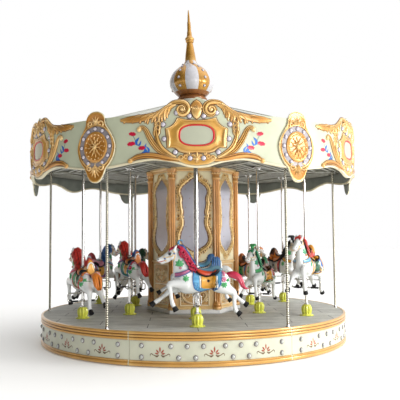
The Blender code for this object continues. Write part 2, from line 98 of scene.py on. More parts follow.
def mix_colour(tree, blend, factor, a, b):
    made = node(tree, "ShaderNodeMix", data_type="RGBA", blend_type=blend)
    for index, value in ((0, factor), (6, a), (7, b)):
        if isinstance(value, bpy.types.NodeSocket):
            tree.links.new(value, made.inputs[index])
        else:
            made.inputs[index].default_value = value
    return made.outputs[2]


def ramp(tree, source, low, high, dim=0.0, bright=1.0):
    made = node(tree, "ShaderNodeMapRange")
    for key, value in (("From Min", low), ("From Max", high), ("To Min", dim), ("To Max", bright)):
        made.inputs[key].default_value = value
    tree.links.new(source, made.inputs["Value"])
    return made.outputs["Result"]


def noise(tree, scale, detail=3.0, stretch=(1, 1, 1), rough=0.5):
    place_node = node(tree, "ShaderNodeTexCoord")
    mapping = node(tree, "ShaderNodeMapping", Scale=stretch)
    tree.links.new(place_node.outputs["Object"], mapping.inputs["Vector"])
    made = node(tree, "ShaderNodeTexNoise", Scale=scale, Detail=detail, Roughness=rough)
    tree.links.new(mapping.outputs["Vector"], made.inputs["Vector"])
    return made.outputs["Fac"]


def paint(name, colour, rough=0.4, metallic=0.0, hollow_shade=None, reach=0.03, spread=0.10, grain=60.0, bump=0.06,
          coat=0.0, edge_highlight=None):
    """Painted surface: patchy tone, painted shade that darkens the hollows, a painted highlight on raised edges
    and a fine uneven skin.
    """
    mat = bpy.data.materials.new(name)
    mat.use_nodes = True
    tree = mat.node_tree
    shader = tree.nodes["Principled BSDF"]
    shader.inputs["Metallic"].default_value = metallic
    shader.inputs["Coat Weight"].default_value = coat
    shader.inputs["Coat Roughness"].default_value = 0.08
    light = tuple(min(1, c * (1 + spread)) for c in colour) + (1,)
    dark = tuple(c * (1 - spread) for c in colour) + (1,)
    tone = mix_colour(tree, "MIX", ramp(tree, noise(tree, 4.0), 0.35, 0.65), dark, light)
    # Painted shade: where ambient occlusion within reach finds other surfaces, the tone darkens towards the given
    # shade colour
    if hollow_shade:
        hollow = node(tree, "ShaderNodeAmbientOcclusion", Distance=reach, samples=6)
        tone = mix_colour(tree, "MIX", ramp(tree, hollow.outputs["AO"], 0.35, 0.95), (*hollow_shade, 1), tone)
    # Painted highlight: convex edges, found by pointiness, turn to the given highlight colour
    if edge_highlight:
        edge = node(tree, "ShaderNodeNewGeometry")
        tone = mix_colour(tree, "MIX", ramp(tree, edge.outputs["Pointiness"], 0.52, 0.60), tone, (*edge_highlight, 1))
    tree.links.new(tone, shader.inputs["Base Color"])
    fine = noise(tree, grain, 4.0)
    tree.links.new(ramp(tree, fine, 0, 1, rough * 0.8, min(1.0, rough * 1.25)), shader.inputs["Roughness"])
    raised = node(tree, "ShaderNodeBump", Strength=bump, Distance=0.004)
    tree.links.new(fine, raised.inputs["Height"])
    tree.links.new(raised.outputs["Normal"], shader.inputs["Normal"])
    return mat


# The deck's plywood sheets: the two deeper greys, the colour of the joints and the size of a sheet
DECK_GRAIN = (0.30, 0.295, 0.265, 1)
DECK_SCUFF = (0.42, 0.42, 0.40, 1)
DECK_JOINT = (0.06, 0.055, 0.05, 1)
DECK_SHEET = {"Mortar Size": 0.006, "Brick Width": 1.22, "Row Height": 0.305, "Mortar Smooth": 0.3}


def deck_boards():
    """Grey plywood sheets with long scuffs, faint grain and dark joints."""
    mat = paint("deck_boards", (0.66, 0.66, 0.60), 0.62, spread=0.14, bump=0.1)
    tree = mat.node_tree
    shader = tree.nodes["Principled BSDF"]
    base = shader.inputs["Base Color"].links[0].from_socket
    grain = ramp(tree, noise(tree, 5.0, 6.0, (0.8, 9.0, 1.0), 0.65), 0.35, 0.7)
    tone = mix_colour(tree, "MIX", grain, DECK_GRAIN, base)
    scuff = ramp(tree, noise(tree, 2.2, 5.0, (0.5, 3.5, 1.0), 0.6), 0.60, 0.74)
    tone = mix_colour(tree, "MIX", scuff, tone, DECK_SCUFF)
    spot = node(tree, "ShaderNodeTexCoord")
    joints = node(tree, "ShaderNodeTexBrick", Scale=1.0)
    for key, value in DECK_SHEET.items():
        joints.inputs[key].default_value = value
    tree.links.new(spot.outputs["Object"], joints.inputs["Vector"])
    tone = mix_colour(tree, "MIX", joints.outputs["Fac"], tone, DECK_JOINT)
    tree.links.new(tone, shader.inputs["Base Color"])
    return mat


# Paints: colour, roughness, metal, colour of the painted shade in the hollows and its reach, patchiness, grain,
# unevenness, coat and the colour of the painted highlight on raised edges
GOLD = paint("gilt", (0.63, 0.335, 0.068), 0.30, 0.30, (0.16, 0.048, 0.008), 0.028, 0.14, 90, 0.10, 0.35,
             (0.88, 0.64, 0.30))
GOLD_DEEP = paint("gilt_deep", (0.51, 0.215, 0.032), 0.32, 0.28, (0.13, 0.038, 0.006), 0.028, 0.14, 90, 0.10,
                  0.3, (0.72, 0.43, 0.14))
DOME_GILT = paint("dome_gilt", (0.50, 0.25, 0.040), 0.26, 0.45, (0.14, 0.040, 0.008), 0.030, 0.12, 40, 0.06,
                  0.4, (0.72, 0.45, 0.15))
# Umber: the painted shadow round gilt relief and round the mirror frame, and the colour of the mirror's studs
UMBER = paint("umber_shadow_line", (0.17, 0.070, 0.018), 0.5, 0.0, None, 0.02, 0.2, 90, 0.05)
FRAME_GILT = paint("frame_gilt", (0.74, 0.45, 0.13), 0.28, 0.20, (0.24, 0.09, 0.015), 0.012, 0.12, 90, 0.10,
                   0.35, (0.95, 0.78, 0.45))
CREAM = paint("cream_board", (0.50, 0.53, 0.385), 0.32, 0.0, (0.26, 0.20, 0.10), 0.03, 0.05, 40, 0.03, 0.25)
CREAM_TRIM = paint("cream_trim", (0.72, 0.66, 0.46), 0.35, 0.0, (0.30, 0.22, 0.10), 0.02, 0.08, 40, 0.04)
IVORY = paint("housing_ivory", (0.90, 0.82, 0.56), 0.36, 0.0, (0.46, 0.28, 0.10), 0.04, 0.08, 30, 0.04, 0.15)
DADO_PAINT = paint("dado_panel", (0.76, 0.46, 0.175), 0.34, 0.05, (0.34, 0.13, 0.03), 0.03, 0.10, 40, 0.06,
                   0.3)
DADO_RELIEF = paint("dado_relief", (0.92, 0.68, 0.35), 0.30, 0.05, (0.42, 0.19, 0.05), 0.016, 0.10, 60, 0.06,
                    0.3, (0.98, 0.84, 0.58))
PALE = paint("pale_oval", (0.44, 0.455, 0.345), 0.3, 0.0, None, 0.02, 0.04, 30, 0.02, 0.3)
WHITE = paint("white_gloss", (0.80, 0.80, 0.79), 0.22, 0.0, (0.42, 0.43, 0.44), 0.03, 0.03, 50, 0.02, 0.5)
LILAC = paint("lilac_ring", (0.29, 0.265, 0.28), 0.4, 0.0, (0.12, 0.10, 0.10), 0.02, 0.10, 40, 0.05)
BULB = paint("bulb_glass", (0.56, 0.53, 0.59), 0.06, 0.0, (0.10, 0.085, 0.12), 0.020, 0.04, 60, 0.02, 1.0)
GREY_BULB = paint("grey_bulb", (0.44, 0.46, 0.43), 0.06, 0.0, (0.08, 0.085, 0.075), 0.020, 0.04, 60, 0.02,
                  1.0)
SKIRT_GILT = paint("skirt_gilt", (0.56, 0.28, 0.055), 0.30, 0.25, (0.14, 0.045, 0.008), 0.024, 0.12, 40,
                   0.06, 0.35, (0.78, 0.50, 0.17))
BULB_RING = paint("bulb_ring", (0.30, 0.27, 0.32), 0.25, 0.5, (0.08, 0.06, 0.08), 0.012, 0.08, 60, 0.03)
RED_RING = paint("red_ring", (0.60, 0.012, 0.016), 0.3, 0.0, None, 0.02, 0.06, 40, 0.03, 0.3)
CRIMSON = paint("crimson", (0.52, 0.008, 0.045), 0.3, 0.0, None, 0.02, 0.25, 60, 0.04, 0.3)
BLUE_LEAF = paint("blue_leaf", (0.02, 0.13, 0.46), 0.35, 0.0, None, 0.02, 0.3, 60, 0.04, 0.2)
STEM = paint("stem", (0.12, 0.20, 0.26), 0.4, 0.0, None, 0.02, 0.1)
LILAC_WHITE = paint("lilac_white", (0.56, 0.55, 0.58), 0.25, 0.0, (0.25, 0.24, 0.27), 0.03, 0.07, 12, 0.03,
                    0.4)
RED_BROWN = paint("red_brown", (0.29, 0.105, 0.022), 0.35, 0.2, (0.09, 0.03, 0.01), 0.03, 0.14, 60, 0.06,
                  0.2)
POST_GOLD = paint("post_gilt", (0.58, 0.265, 0.060), 0.30, 0.20, (0.15, 0.036, 0.008), 0.026, 0.16, 60, 0.06,
                  0.35, (0.93, 0.66, 0.31))
SKIRT_CREAM = paint("skirt_cream", (0.60, 0.61, 0.475), 0.32, 0.0, (0.30, 0.25, 0.13), 0.03, 0.06, 40, 0.03,
                    0.25)
SLAT = paint("ceiling_slat", (0.35, 0.35, 0.29), 0.45, 0.0, (0.08, 0.07, 0.05), 0.06, 0.18, 30, 0.06)
GROOVE = paint("rope_groove", (0.055, 0.055, 0.022), 0.5, 0.3, None, 0.02, 0.2)
LOTUS = paint("lotus", (0.36, 0.07, 0.035), 0.4, 0.0, None, 0.02, 0.25)
LOTUS_DARK = paint("lotus_scroll", (0.16, 0.10, 0.05), 0.4, 0.0, None, 0.02, 0.2)
GREY_GREEN = paint("canopy_underside", (0.20, 0.21, 0.18), 0.5, 0.0, (0.05, 0.05, 0.04), 0.08, 0.14, 30, 0.08)
BOARD_BACK = paint("board_back", (0.20, 0.22, 0.19), 0.6, 0.0, (0.07, 0.07, 0.06), 0.08, 0.18, 20, 0.15)
ROOF = paint("roof_sheet", (0.60, 0.61, 0.54), 0.4, 0.0, (0.24, 0.23, 0.20), 0.05, 0.08, 20, 0.06)
CHROME = paint("chrome", (0.74, 0.73, 0.71), 0.16, 1.0, None, 0.02, 0.05, 120, 0.03)
ROPE = paint("rope_metal", (0.56, 0.53, 0.44), 0.24, 0.9, (0.05, 0.05, 0.03), 0.006, 0.1, 120, 0.05)
GUIDE = paint("guide_yellow", (0.74, 0.76, 0.09), 0.33, 0.0, (0.20, 0.22, 0.01), 0.018, 0.08, 60, 0.05, 0.3)
STEEL = paint("dark_steel", (0.07, 0.075, 0.08), 0.5, 0.7, (0.02, 0.02, 0.02), 0.05, 0.2, 60, 0.1)
MIRROR = paint("mirror_panel", (0.50, 0.49, 0.55), 0.16, 0.55, None, 0.02, 0.05, 3, 0.02)
DECK = deck_boards()


# Shape building

class Shape:
    """Closed solids gathered as points and faces, each face with a material number."""

    def __init__(self, outline=None):
        self.points, self.faces, self.kinds, self.count = [], [], [], 0
        # The material number for the painted shadow round the foot of gilt relief, if the shape has one
        self.outline = outline

    def add(self, points, faces, kind=0):
        points = np.asarray(points, float).reshape(-1, 3)
        self.points.append(points)
        self.faces += [tuple(i + self.count for i in face) for face in faces]
        self.kinds += list(kind) if hasattr(kind, "__len__") else [kind] * len(faces)
        self.count += len(points)

    def include(self, other, change=lambda points: points):
        """Add another shape, with its points changed by a function if one is given."""
        self.add(change(np.vstack(other.points)), other.faces, other.kinds)


def rows_of_faces(rows, columns):
    return [(r * columns + c, r * columns + (c + 1) % columns, (r + 1) * columns + (c + 1) % columns,
             (r + 1) * columns + c) for r in range(rows - 1) for c in range(columns)]


def capped(rows, columns):
    ends = [tuple(range(columns)), tuple(range((rows - 1) * columns, rows * columns))]
    return rows_of_faces(rows, columns) + ends


def band_kinds(kinds, columns):
    """One material number for each face of a capped stack of rings, from one number for each band."""
    return [k for k in kinds for _ in range(columns)] + [kinds[0], kinds[-1]]


def spokes(count, start=0.0):
    """Cosine and sine of evenly spaced turns."""
    for index in range(count):
        turn = 2 * pi * index / count + start
        yield cos(turn), sin(turn)


def spread_along(points, count, closed):
    """Evenly spaced points along straight runs between the given ones."""
    along = np.r_[0, np.cumsum(np.linalg.norm(np.diff(points, axis=0), axis=1))]
    want = np.linspace(0, along[-1], count + closed)[:count]
    return np.stack([np.interp(want, along, points[:, k]) for k in range(points.shape[1])], 1)


def smooth(points, count, closed=False):
    """Evenly spaced points along a smooth curve through the given ones."""
    given = np.asarray(points, float)
    if closed:
        padded = np.vstack([given[-1], given, given[0], given[1]])
    else:
        padded = np.vstack([2 * given[0] - given[1], given, 2 * given[-1] - given[-2]])
    share = np.linspace(0, 1, 10, endpoint=False)[:, None]
    fine = []
    for a, b, c, d in zip(padded, padded[1:], padded[2:], padded[3:]):
        fine.append(0.5 * (2 * b + (c - a) * share + (2 * a - 5 * b + 4 * c - d) * share ** 2
                           + (3 * b - a - 3 * c + d) * share ** 3))
    return spread_along(np.vstack(fine + [given[:1] if closed else given[-1:]]), count, closed)


def straight(points, count):
    """Evenly spaced points round a closed outline of straight runs, which keeps its corners sharp."""
    given = np.asarray(points, float)
    return spread_along(np.vstack([given, given[:1]]), count, True)


def whole(half):
    """A closed outline from its right half, listed from the top down."""
    half = [tuple(p) for p in half]
    return half + [(-u, v) for u, v in reversed(half) if abs(u) > 1e-6]


def along_rows(values, rows):
    """One value for each row, from a single number or a list that is spread over the rows."""
    return np.interp(np.linspace(0, 1, rows), np.linspace(0, 1, np.size(values)), np.ravel(values))


def headings(path):
    """Unit directions along a path."""
    ahead = np.gradient(path, axis=0)
    return ahead / np.maximum(np.linalg.norm(ahead, axis=1), 1e-9)[:, None]


def sweep(shape, path, width, height, kind=0, profile=ROUND, base=0.0, sink=SINK):
    """A raised band along a path on the surface, with its width and height at each point."""
    path = np.asarray(path, float)
    rows = len(path)
    ahead = headings(path)
    side = np.stack([-ahead[:, 1], ahead[:, 0]], 1)
    width, height = along_rows(width, rows), along_rows(height, rows)
    cross = np.array(profile, float)
    offset = np.r_[cross[:, 0], 1, -1]
    flat = path[:, None, :] + side[:, None, :] * (offset[None, :, None] * width[:, None, None] / 2)
    rise = np.concatenate([height[:, None] * cross[None, :, 1], np.full((rows, 2), -sink)], 1) + base
    shape.add(np.concatenate([flat, rise[:, :, None]], 2), capped(rows, len(offset)), kind)
    # Painted shadow: a flat umber sheet a little wider than gilt work, round its foot
    if shape.outline is not None and kind in GILT_KINDS and base < SHADOW_LINE_HEIGHT:
        grown = path[:, None, :] + side[:, None, :] * (np.array((-1, 1, 1, -1))[None, :, None]
                                                       * (width[:, None, None] / 2 + SHADOW_LINE_WIDTH))
        level = np.tile((SHADOW_LINE_HEIGHT, SHADOW_LINE_HEIGHT, -sink, -sink), (rows, 1))[:, :, None]
        shape.add(np.concatenate([grown, level], 2), capped(rows, 4), shape.outline)


def stroke(shape, points, count, width, height, kind=0, profile=ROUND, flip=1, base=0.0, sink=SINK):
    """A raised band along a smooth curve, turned over if a flip is given."""
    sweep(shape, smooth(points, count) * flip, width, height, kind, profile, base, sink)


def leaf(shape, points, width, height, kind=0, count=10, flip=1):
    stroke(shape, points, count, [width * 0.35, width, width * 0.85, width * 0.1],
           [height * 0.7, height, height * 0.8, 2], kind, RIDGE, flip)


def fan(shape, root, reach, spread, heading, count, width, height, kind=0):
    """Leaf fingers that open from a root, the middle one longest."""
    for index in range(count):
        share = index / (count - 1) * 2 - 1
        turn = radians(heading + share * spread / 2)
        length = reach * (1 - 0.30 * abs(share) ** 1.5)
        bent = turn + radians(16 * share)
        mid = (root[0] + length * 0.55 * cos(turn), root[1] + length * 0.55 * sin(turn))
        tip = (root[0] + length * cos(bent), root[1] + length * sin(bent))
        stroke(shape, (root, mid, tip), 8, [width * 0.45, width, width * 0.8, width * 0.15],
               [height, height, height * 0.7, 2], kind, RIDGE)


def shadow_margin(shape, outline, centre):
    """A flat umber margin round a raised plate: a painted shadow at its foot."""
    away = np.asarray(outline, float) - centre
    away *= 1 + SHADOW_MARGIN / np.linalg.norm(away, axis=1)[:, None]
    plate(shape, away + centre, ((0, -SINK), (0, SHADOW_LINE_HEIGHT), (0.9, SHADOW_LINE_HEIGHT)), shape.outline, centre)


def ball(shape, centre, radii, kind=0, around=12, up=7):
    polar = np.linspace(0, pi, up)[1:-1]
    turn = np.linspace(0, 2 * pi, around, endpoint=False)
    ring = np.stack([np.outer(np.sin(polar), np.cos(turn)), np.outer(np.sin(polar), np.sin(turn)),
                     np.outer(np.cos(polar), np.ones(around))], 2).reshape(-1, 3)
    points = np.vstack([ring, [[0, 0, 1], [0, 0, -1]]]) * radii + centre
    faces = rows_of_faces(up - 2, around)
    top, low = len(ring), len(ring) + 1
    last = (up - 3) * around
    faces += [(top, (i + 1) % around, i) for i in range(around)]
    faces += [(low, last + i, last + (i + 1) % around) for i in range(around)]
    shape.add(points, faces, kind)


def button(shape, centre, profile, kind, around):
    """A turned piece standing on the surface: profile of radius and height from its foot to its middle."""
    u, v, h = centre
    turn = np.linspace(0, 2 * pi, around, endpoint=False)
    rings = [np.stack([u + r * np.cos(turn), v + r * np.sin(turn), np.full(around, h + z)], 1)
             for r, z in profile]
    kinds = band_kinds(kind, around) if hasattr(kind, "__len__") else kind
    shape.add(np.vstack(rings), capped(len(profile), around), kinds)


BULB_PROFILE = ((33, -SINK), (33, 4), (30, 7.5), (26.5, 7.5), (25.5, 6), (25.5, 11), (21.5, 18), (13.5, 22.5),
                (4, 24))


def bulb(shape, u, v, h, size, ring, glass):
    """A domed bulb in its ring."""
    profile = [(r * size, z * size) for r, z in BULB_PROFILE]
    button(shape, (u, v, h), profile, [ring] * 4 + [glass] * 4, 14)


def plate(shape, outline, rings, kind=0, centre=None, inner=None):
    """A raised plate: rings of inward share and height, towards an inner outline or the middle."""
    outline = np.asarray(outline, float)
    middle = outline.mean(0) if centre is None else np.array(centre, float)
    target = np.broadcast_to(middle, outline.shape) if inner is None else np.asarray(inner, float)
    count = len(outline)
    loops = [np.c_[outline + (target - outline) * share, np.full(count, rise)] for share, rise in rings]
    kinds = band_kinds(kind, count) if hasattr(kind, "__len__") else kind
    shape.add(np.vstack(loops), capped(len(loops), count), kinds)


def radial(outline, centre, count):
    """Points of an outline at even turns about a centre, so two outlines can be joined by rings."""
    fine = straight(np.asarray(outline, float) - centre, 1200)
    turn = np.unwrap(np.arctan2(fine[:, 1], fine[:, 0]))
    if turn[-1] < turn[0]:
        fine, turn = fine[::-1], turn[::-1]
    want = turn[0] + np.linspace(0, 2 * pi, count, endpoint=False)
    turn = np.r_[turn, turn[0] + 2 * pi]
    fine = np.vstack([fine, fine[:1]])
    found = np.stack([np.interp(want, turn, fine[:, k]) for k in (0, 1)], 1)
    start = int(np.argmin(np.abs((want + pi / 2) % (2 * pi))))
    return np.roll(found, -start, 0) + centre


def oval(centre, wide, high, count=48, power=2.0):
    turn = np.linspace(-pi / 2, 1.5 * pi, count, endpoint=False)
    c, s = np.cos(turn), np.sin(turn)
    return np.stack([centre[0] + wide * np.sign(c) * np.abs(c) ** (2 / power),
                     centre[1] + high * np.sign(s) * np.abs(s) ** (2 / power)], 1)


def radial_oval(centre, wide, high, count, power=2.0):
    return radial(oval(centre, wide, high, count, power), centre, count)


def spiral(centre, start, end, first, last, count=40):
    """Points that wind about a centre, from one radius and angle in degrees to another."""
    share = np.linspace(0, 1, count)
    radius = start + (end - start) * share ** 0.85
    turn = np.radians(first + (last - first) * share)
    return np.stack([centre[0] + radius * np.cos(turn), centre[1] + radius * np.sin(turn)], 1)


def tube(shape, path, radii, kind=0, around=8, squash=1.0, up=(0, 0, 1)):
    """A round or flattened bar along points in space."""
    path = np.asarray(path, float)
    rows = len(path)
    radii = along_rows(radii, rows)
    ahead = headings(path)
    side = np.cross(ahead, np.array(up, float))
    weak = np.linalg.norm(side, axis=1) < 1e-3
    side[weak] = np.cross(ahead[weak], (1.0, 0, 0))
    side /= np.linalg.norm(side, axis=1)[:, None]
    over = np.cross(side, ahead)
    turn = np.linspace(0, 2 * pi, around, endpoint=False)
    ring = (side[:, None, :] * np.cos(turn)[None, :, None]
            + over[:, None, :] * (np.sin(turn) * squash)[None, :, None])
    shape.add(path[:, None, :] + ring * radii[:, None, None], capped(rows, around), kind)


def lathe(shape, profile, around=32, kind=0, centre=(0, 0), closed=False, flutes=0, depth=0.0, crisp=1.0):
    """A profile of radius, height and flute share turned about an upright line; crisp flutes are under 1."""
    turn = np.linspace(0, 2 * pi, around, endpoint=False)
    rings = []
    for r, z, *share in profile:
        cut = depth * sum(share) * (0.5 - 0.5 * np.cos(flutes * turn)) ** crisp
        rings.append(np.stack([centre[0] + (r - cut) * np.sin(turn), centre[1] - (r - cut) * np.cos(turn),
                               np.full(around, z)], 1))
    rows = len(profile)
    if closed:
        last = (rows - 1) * around
        faces = rows_of_faces(rows, around)
        faces += [(last + c, last + (c + 1) % around, (c + 1) % around, c) for c in range(around)]
    else:
        faces = capped(rows, around)
    shape.add(np.vstack(rings), faces, kind)


BOX_FACES = [(0, 3, 2, 1), (4, 5, 6, 7), (0, 1, 5, 4), (1, 2, 6, 5), (2, 3, 7, 6), (3, 0, 4, 7)]


def slab(x0, x1, y0, y1, z0, z1):
    return np.array([(x, y, z) for z in (z0, z1) for x, y in ((x0, y0), (x1, y0), (x1, y1), (x0, y1))], float)


def on_cylinder(radius):
    """Lays surface points (u, v, height) round the axis, with u measured at the board radius."""
    def change(points):
        turn = points[:, 0] / BOARD_R
        reach = radius + points[:, 2]
        return np.stack([reach * np.sin(turn), -reach * np.cos(turn), points[:, 1]], 1)
    return change


def on_face(points):
    """Lays surface points on the front face of the centre housing."""
    return np.stack([points[:, 0], -(FACE + points[:, 2]), points[:, 1]], 1)


def linked(name, mesh):
    obj = bpy.data.objects.new(name, mesh)
    bpy.context.scene.collection.objects.link(obj)
    return obj


def settled(obj):
    """The mesh of an object after its modifiers; the object itself goes away."""
    mesh = obj.data
    graph = bpy.context.evaluated_depsgraph_get()
    made = bpy.data.meshes.new_from_object(obj.evaluated_get(graph))
    bpy.data.objects.remove(obj)
    bpy.data.meshes.remove(mesh)
    return made


def build(shape, name, materials, change=None, sharp=40, keep=1.0):
    """The mesh of a shape in metres, laid on a surface if asked, keeping only a share of its triangles."""
    points = np.vstack(shape.points)
    if change:
        points = change(points)
    mesh = bpy.data.meshes.new(name)
    mesh.from_pydata((points / 1000).tolist(), [], shape.faces)
    for mat in materials:
        mesh.materials.append(mat)
    mesh.polygons.foreach_set("material_index", shape.kinds)
    bm = bmesh.new()
    bm.from_mesh(mesh)
    bmesh.ops.recalc_face_normals(bm, faces=bm.faces)
    bm.to_mesh(mesh)
    bm.free()
    if keep < 1:
        whole_piece = linked("thinning", mesh)
        whole_piece.modifiers.new("thin", "DECIMATE").ratio = keep
        mesh = settled(whole_piece)
        mesh.name = name
    mesh.shade_smooth()
    mesh.set_sharp_from_angle(angle=radians(sharp))
    return mesh


def place(mesh, name, stands_for=(), matrix=None, body="rotor"):
    """Stands a mesh in the scene; on the rotor the mesh itself is moved, so that its box stays tight."""
    turned_mesh = matrix is not None and body == "rotor"
    if turned_mesh:
        mesh = mesh.copy()
        mesh.transform(matrix)
    obj = linked(name, mesh)
    if matrix is not None and not turned_mesh:
        obj.matrix_world = matrix
    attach(obj, body)
    if stands_for:
        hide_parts(*stands_for)


def turned(angle, reach=0, lift=0):
    """Where a repeat stands: at a reach from the axis, lifted, then turned about the axis."""
    return Matrix.Rotation(radians(angle), 4, "Z") @ Matrix.Translation((0, -reach / 1000, lift / 1000))


def repaint(name, mat):
    """Give a carried-over CAD node its finished surface."""
    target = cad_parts[name]
    target.data.materials.clear()
    target.data.materials.append(mat)


# Canopy boards

# Angle from a board's middle and height of its upper and its lower edge
BOARD_TOP = ((0, 3095), (1.6, 3062), (2.6, 3045), (4.6, 3060), (6.2, 3045), (7.8, 2995), (10, 2940),
             (13, 2915), (17.5, 2905), (30, 2900))
BOARD_LOW = ((0, 2286), (2.5, 2296), (4.5, 2320), (6.5, 2345), (9.5, 2368), (13, 2380), (17, 2360),
             (21, 2335), (25, 2315), (30, 2305))
# Cross section: share of the height and depth, and the material that follows each corner
BOARD_SECTION = ((0, -0.5), (0.25, 0), (0.5, 0), (0.75, 0), (1, -0.5), (1, -6), (1, -30), (0, -30))
BOARD_KINDS = (0, 0, 0, 0, 1, 1, 2, 1)
BOARD_COLUMNS = 121
# The relief stands a little left of the middle of its board
RELIEF_SHIFT = -13


def outline_height(points, angles):
    """Height of an edge at some angles; heights in metres keep the curve's points even along the angle."""
    half = [(a, z / 1000) for a, z in points]
    line = smooth([(-a, z) for a, z in half[:0:-1]] + half, 400)
    return np.interp(angles, line[:, 0], line[:, 1]) * 1000


def make_board():
    """One sixth of the canopy board, curved in plan, with a rolled lower edge and an upper edge in trim cream."""
    shape = Shape()
    angles = np.linspace(-29.98, 29.98, BOARD_COLUMNS)
    top, low = outline_height(BOARD_TOP, angles), outline_height(BOARD_LOW, angles)
    u = np.radians(angles) * BOARD_R
    loop = [np.stack([u, low + (top - low) * share, np.full(len(u), rise)], 1)
            for share, rise in BOARD_SECTION]
    kinds = BOARD_KINDS * (BOARD_COLUMNS - 1) + (1, 1)
    shape.add(np.stack(loop, 1), capped(BOARD_COLUMNS, len(loop)), kinds)
    stroke(shape, np.stack([u, low + 4], 1), BOARD_COLUMNS, 24, 8, 1, ROUND, 1, 0, 34)
    return shape


# The acanthus spray, left half: its outer tongue, its long leaves with their widths and the leaflets between
TONGUE = ((-905, 2852), (-830, 2853), (-740, 2855), (-650, 2862), (-570, 2876), (-500, 2896))
SPRAY = (
    (((-235, 3010), (-300, 2985), (-322, 2935), (-318, 2892)), 54),
    (((-268, 3010), (-345, 2960), (-368, 2895), (-362, 2822)), 60),
    (((-320, 2990), (-400, 2925), (-432, 2865), (-432, 2800)), 60),
    (((-380, 2950), (-462, 2897), (-505, 2850), (-520, 2800)), 58),
    (((-440, 2920), (-530, 2885), (-580, 2845), (-602, 2802)), 54),
    (((-520, 2898), (-610, 2880), (-660, 2850), (-688, 2818)), 44),
    (((-600, 2890), (-690, 2884), (-750, 2862), (-800, 2822)), 38),
)
LEAFLETS = (
    (((-335, 2930), (-342, 2885), (-336, 2850)), 30), (((-395, 2890), (-402, 2845), (-396, 2806)), 30),
    (((-470, 2860), (-480, 2825), (-478, 2790)), 30), (((-555, 2850), (-566, 2818), (-566, 2788)), 28),
    (((-640, 2850), (-655, 2825), (-660, 2800)), 26), (((-720, 2850), (-745, 2832), (-752, 2806)), 24),
    (((-830, 2842), (-855, 2828), (-862, 2812)), 22),
)
SPRAY_RIM = ((-600, 2897), (-500, 2908), (-410, 2944), (-340, 2990), (-285, 3018))


def acanthus(shape, flip):
    """The long leaf spray that runs from the top scroll out along the upper edge."""
    gold, deep = GILT_KINDS
    stroke(shape, TONGUE, 40, [16, 60, 78, 74, 70, 50], [8, 14, 15, 14], deep, FLAT, flip)
    stroke(shape, np.add(TONGUE, (0, 12)), 40, [6, 26, 34, 30, 24], [10, 24, 25], gold, RIDGE, flip)
    for points, width in SPRAY:
        leaf(shape, points, width, 27, gold, 16, flip)
    for points, width in LEAFLETS:
        leaf(shape, points, width, 20, deep, 9, flip)
    stroke(shape, SPRAY_RIM, 40, [6, 20, 24, 22], [12, 24, 26], gold, ROUND, flip)


# The gilt frame in the middle of a board: its right half, and its rise from the rim to the inner oval
CARTOUCHE_MIDDLE = (0, 2650)
CARTOUCHE = ((0, 2820), (60, 2823), (120, 2831), (170, 2842), (222, 2857), (232, 2826), (250, 2795),
             (280, 2766), (316, 2745), (358, 2734), (350, 2680), (344, 2620), (340, 2560), (336, 2506),
             (300, 2510), (272, 2515), (245, 2505), (222, 2486), (200, 2466), (150, 2452), (100, 2448), (0, 2455))
CARTOUCHE_RISE = ((0, -SINK), (0, 8), (0.05, 14), (0.20, 15), (0.28, 11), (0.33, 7.5), (0.45, 8.5),
                  (0.66, 12), (0.80, 18), (0.92, 18), (1, 12), (1, 2))
RED_RISE = ((0, 0), (0, 13), (0.02, 15.5), (0.075, 15.5), (0.095, 13), (0.10, 4))
PALE_RISE = ((0, 0), (0, 9), (0.5, 10), (0.98, 10))
OVAL_POWER = 2.7

# Bands of the left half, from the top scroll down
FRAME_SIDE = ((330, 2722), (312, 2620), (315, 2520))
FRAME_CORNER = ((218, 2842), (236, 2806), (275, 2760), (345, 2728))
TOP_SCROLL = ((-370, 2965), (-315, 3004), (-262, 3030), (-205, 3036))
SIDE_BAND = ((-458, 2800), (-470, 2740), (-466, 2680), (-450, 2600), (-405, 2512), (-325, 2444), (-240, 2396))
OUTER_CURVE = ((-665, 2752), (-628, 2756), (-588, 2722), (-552, 2650), (-505, 2570), (-440, 2490),
               (-370, 2440), (-300, 2412))
LOW_SWAG = ((-775, 2366), (-745, 2394), (-680, 2418), (-575, 2428), (-460, 2414), (-360, 2390), (-270, 2374),
            (-205, 2368))
BAND_LEAVES = ((((6, 30), (-26, -10), (-12, -72)), 34, 25), (((0, 30), (30, 0), (14, -60)), 28, 22))
# Raised plates in the middle: right half, middle, rise, material
LOW_SHELL = ((0, 2425), (100, 2420), (205, 2410), (235, 2388), (190, 2350), (120, 2318), (0, 2302))
TOP_PLATES = (
    (((0, 2972), (52, 2968), (60, 2935), (52, 2895), (30, 2858), (0, 2838)), (0, 2915),
     ((0, -SINK), (0, 8), (0.12, 18), (0.4, 25), (0.9, 27)), 0),
    (((0, 3058), (34, 3036), (60, 3002), (72, 2966), (34, 2954), (0, 2950)), (0, 2992),
     ((0, -SINK), (0, 10), (0.10, 17), (0.35, 19), (0.9, 19)), 1),
)
BOARD_BULBS = ((229, 2913), (82, 2871), (385, 2780), (372, 2614), (245, 2457), (76, 2386))
RAISED_UNDER = 2400


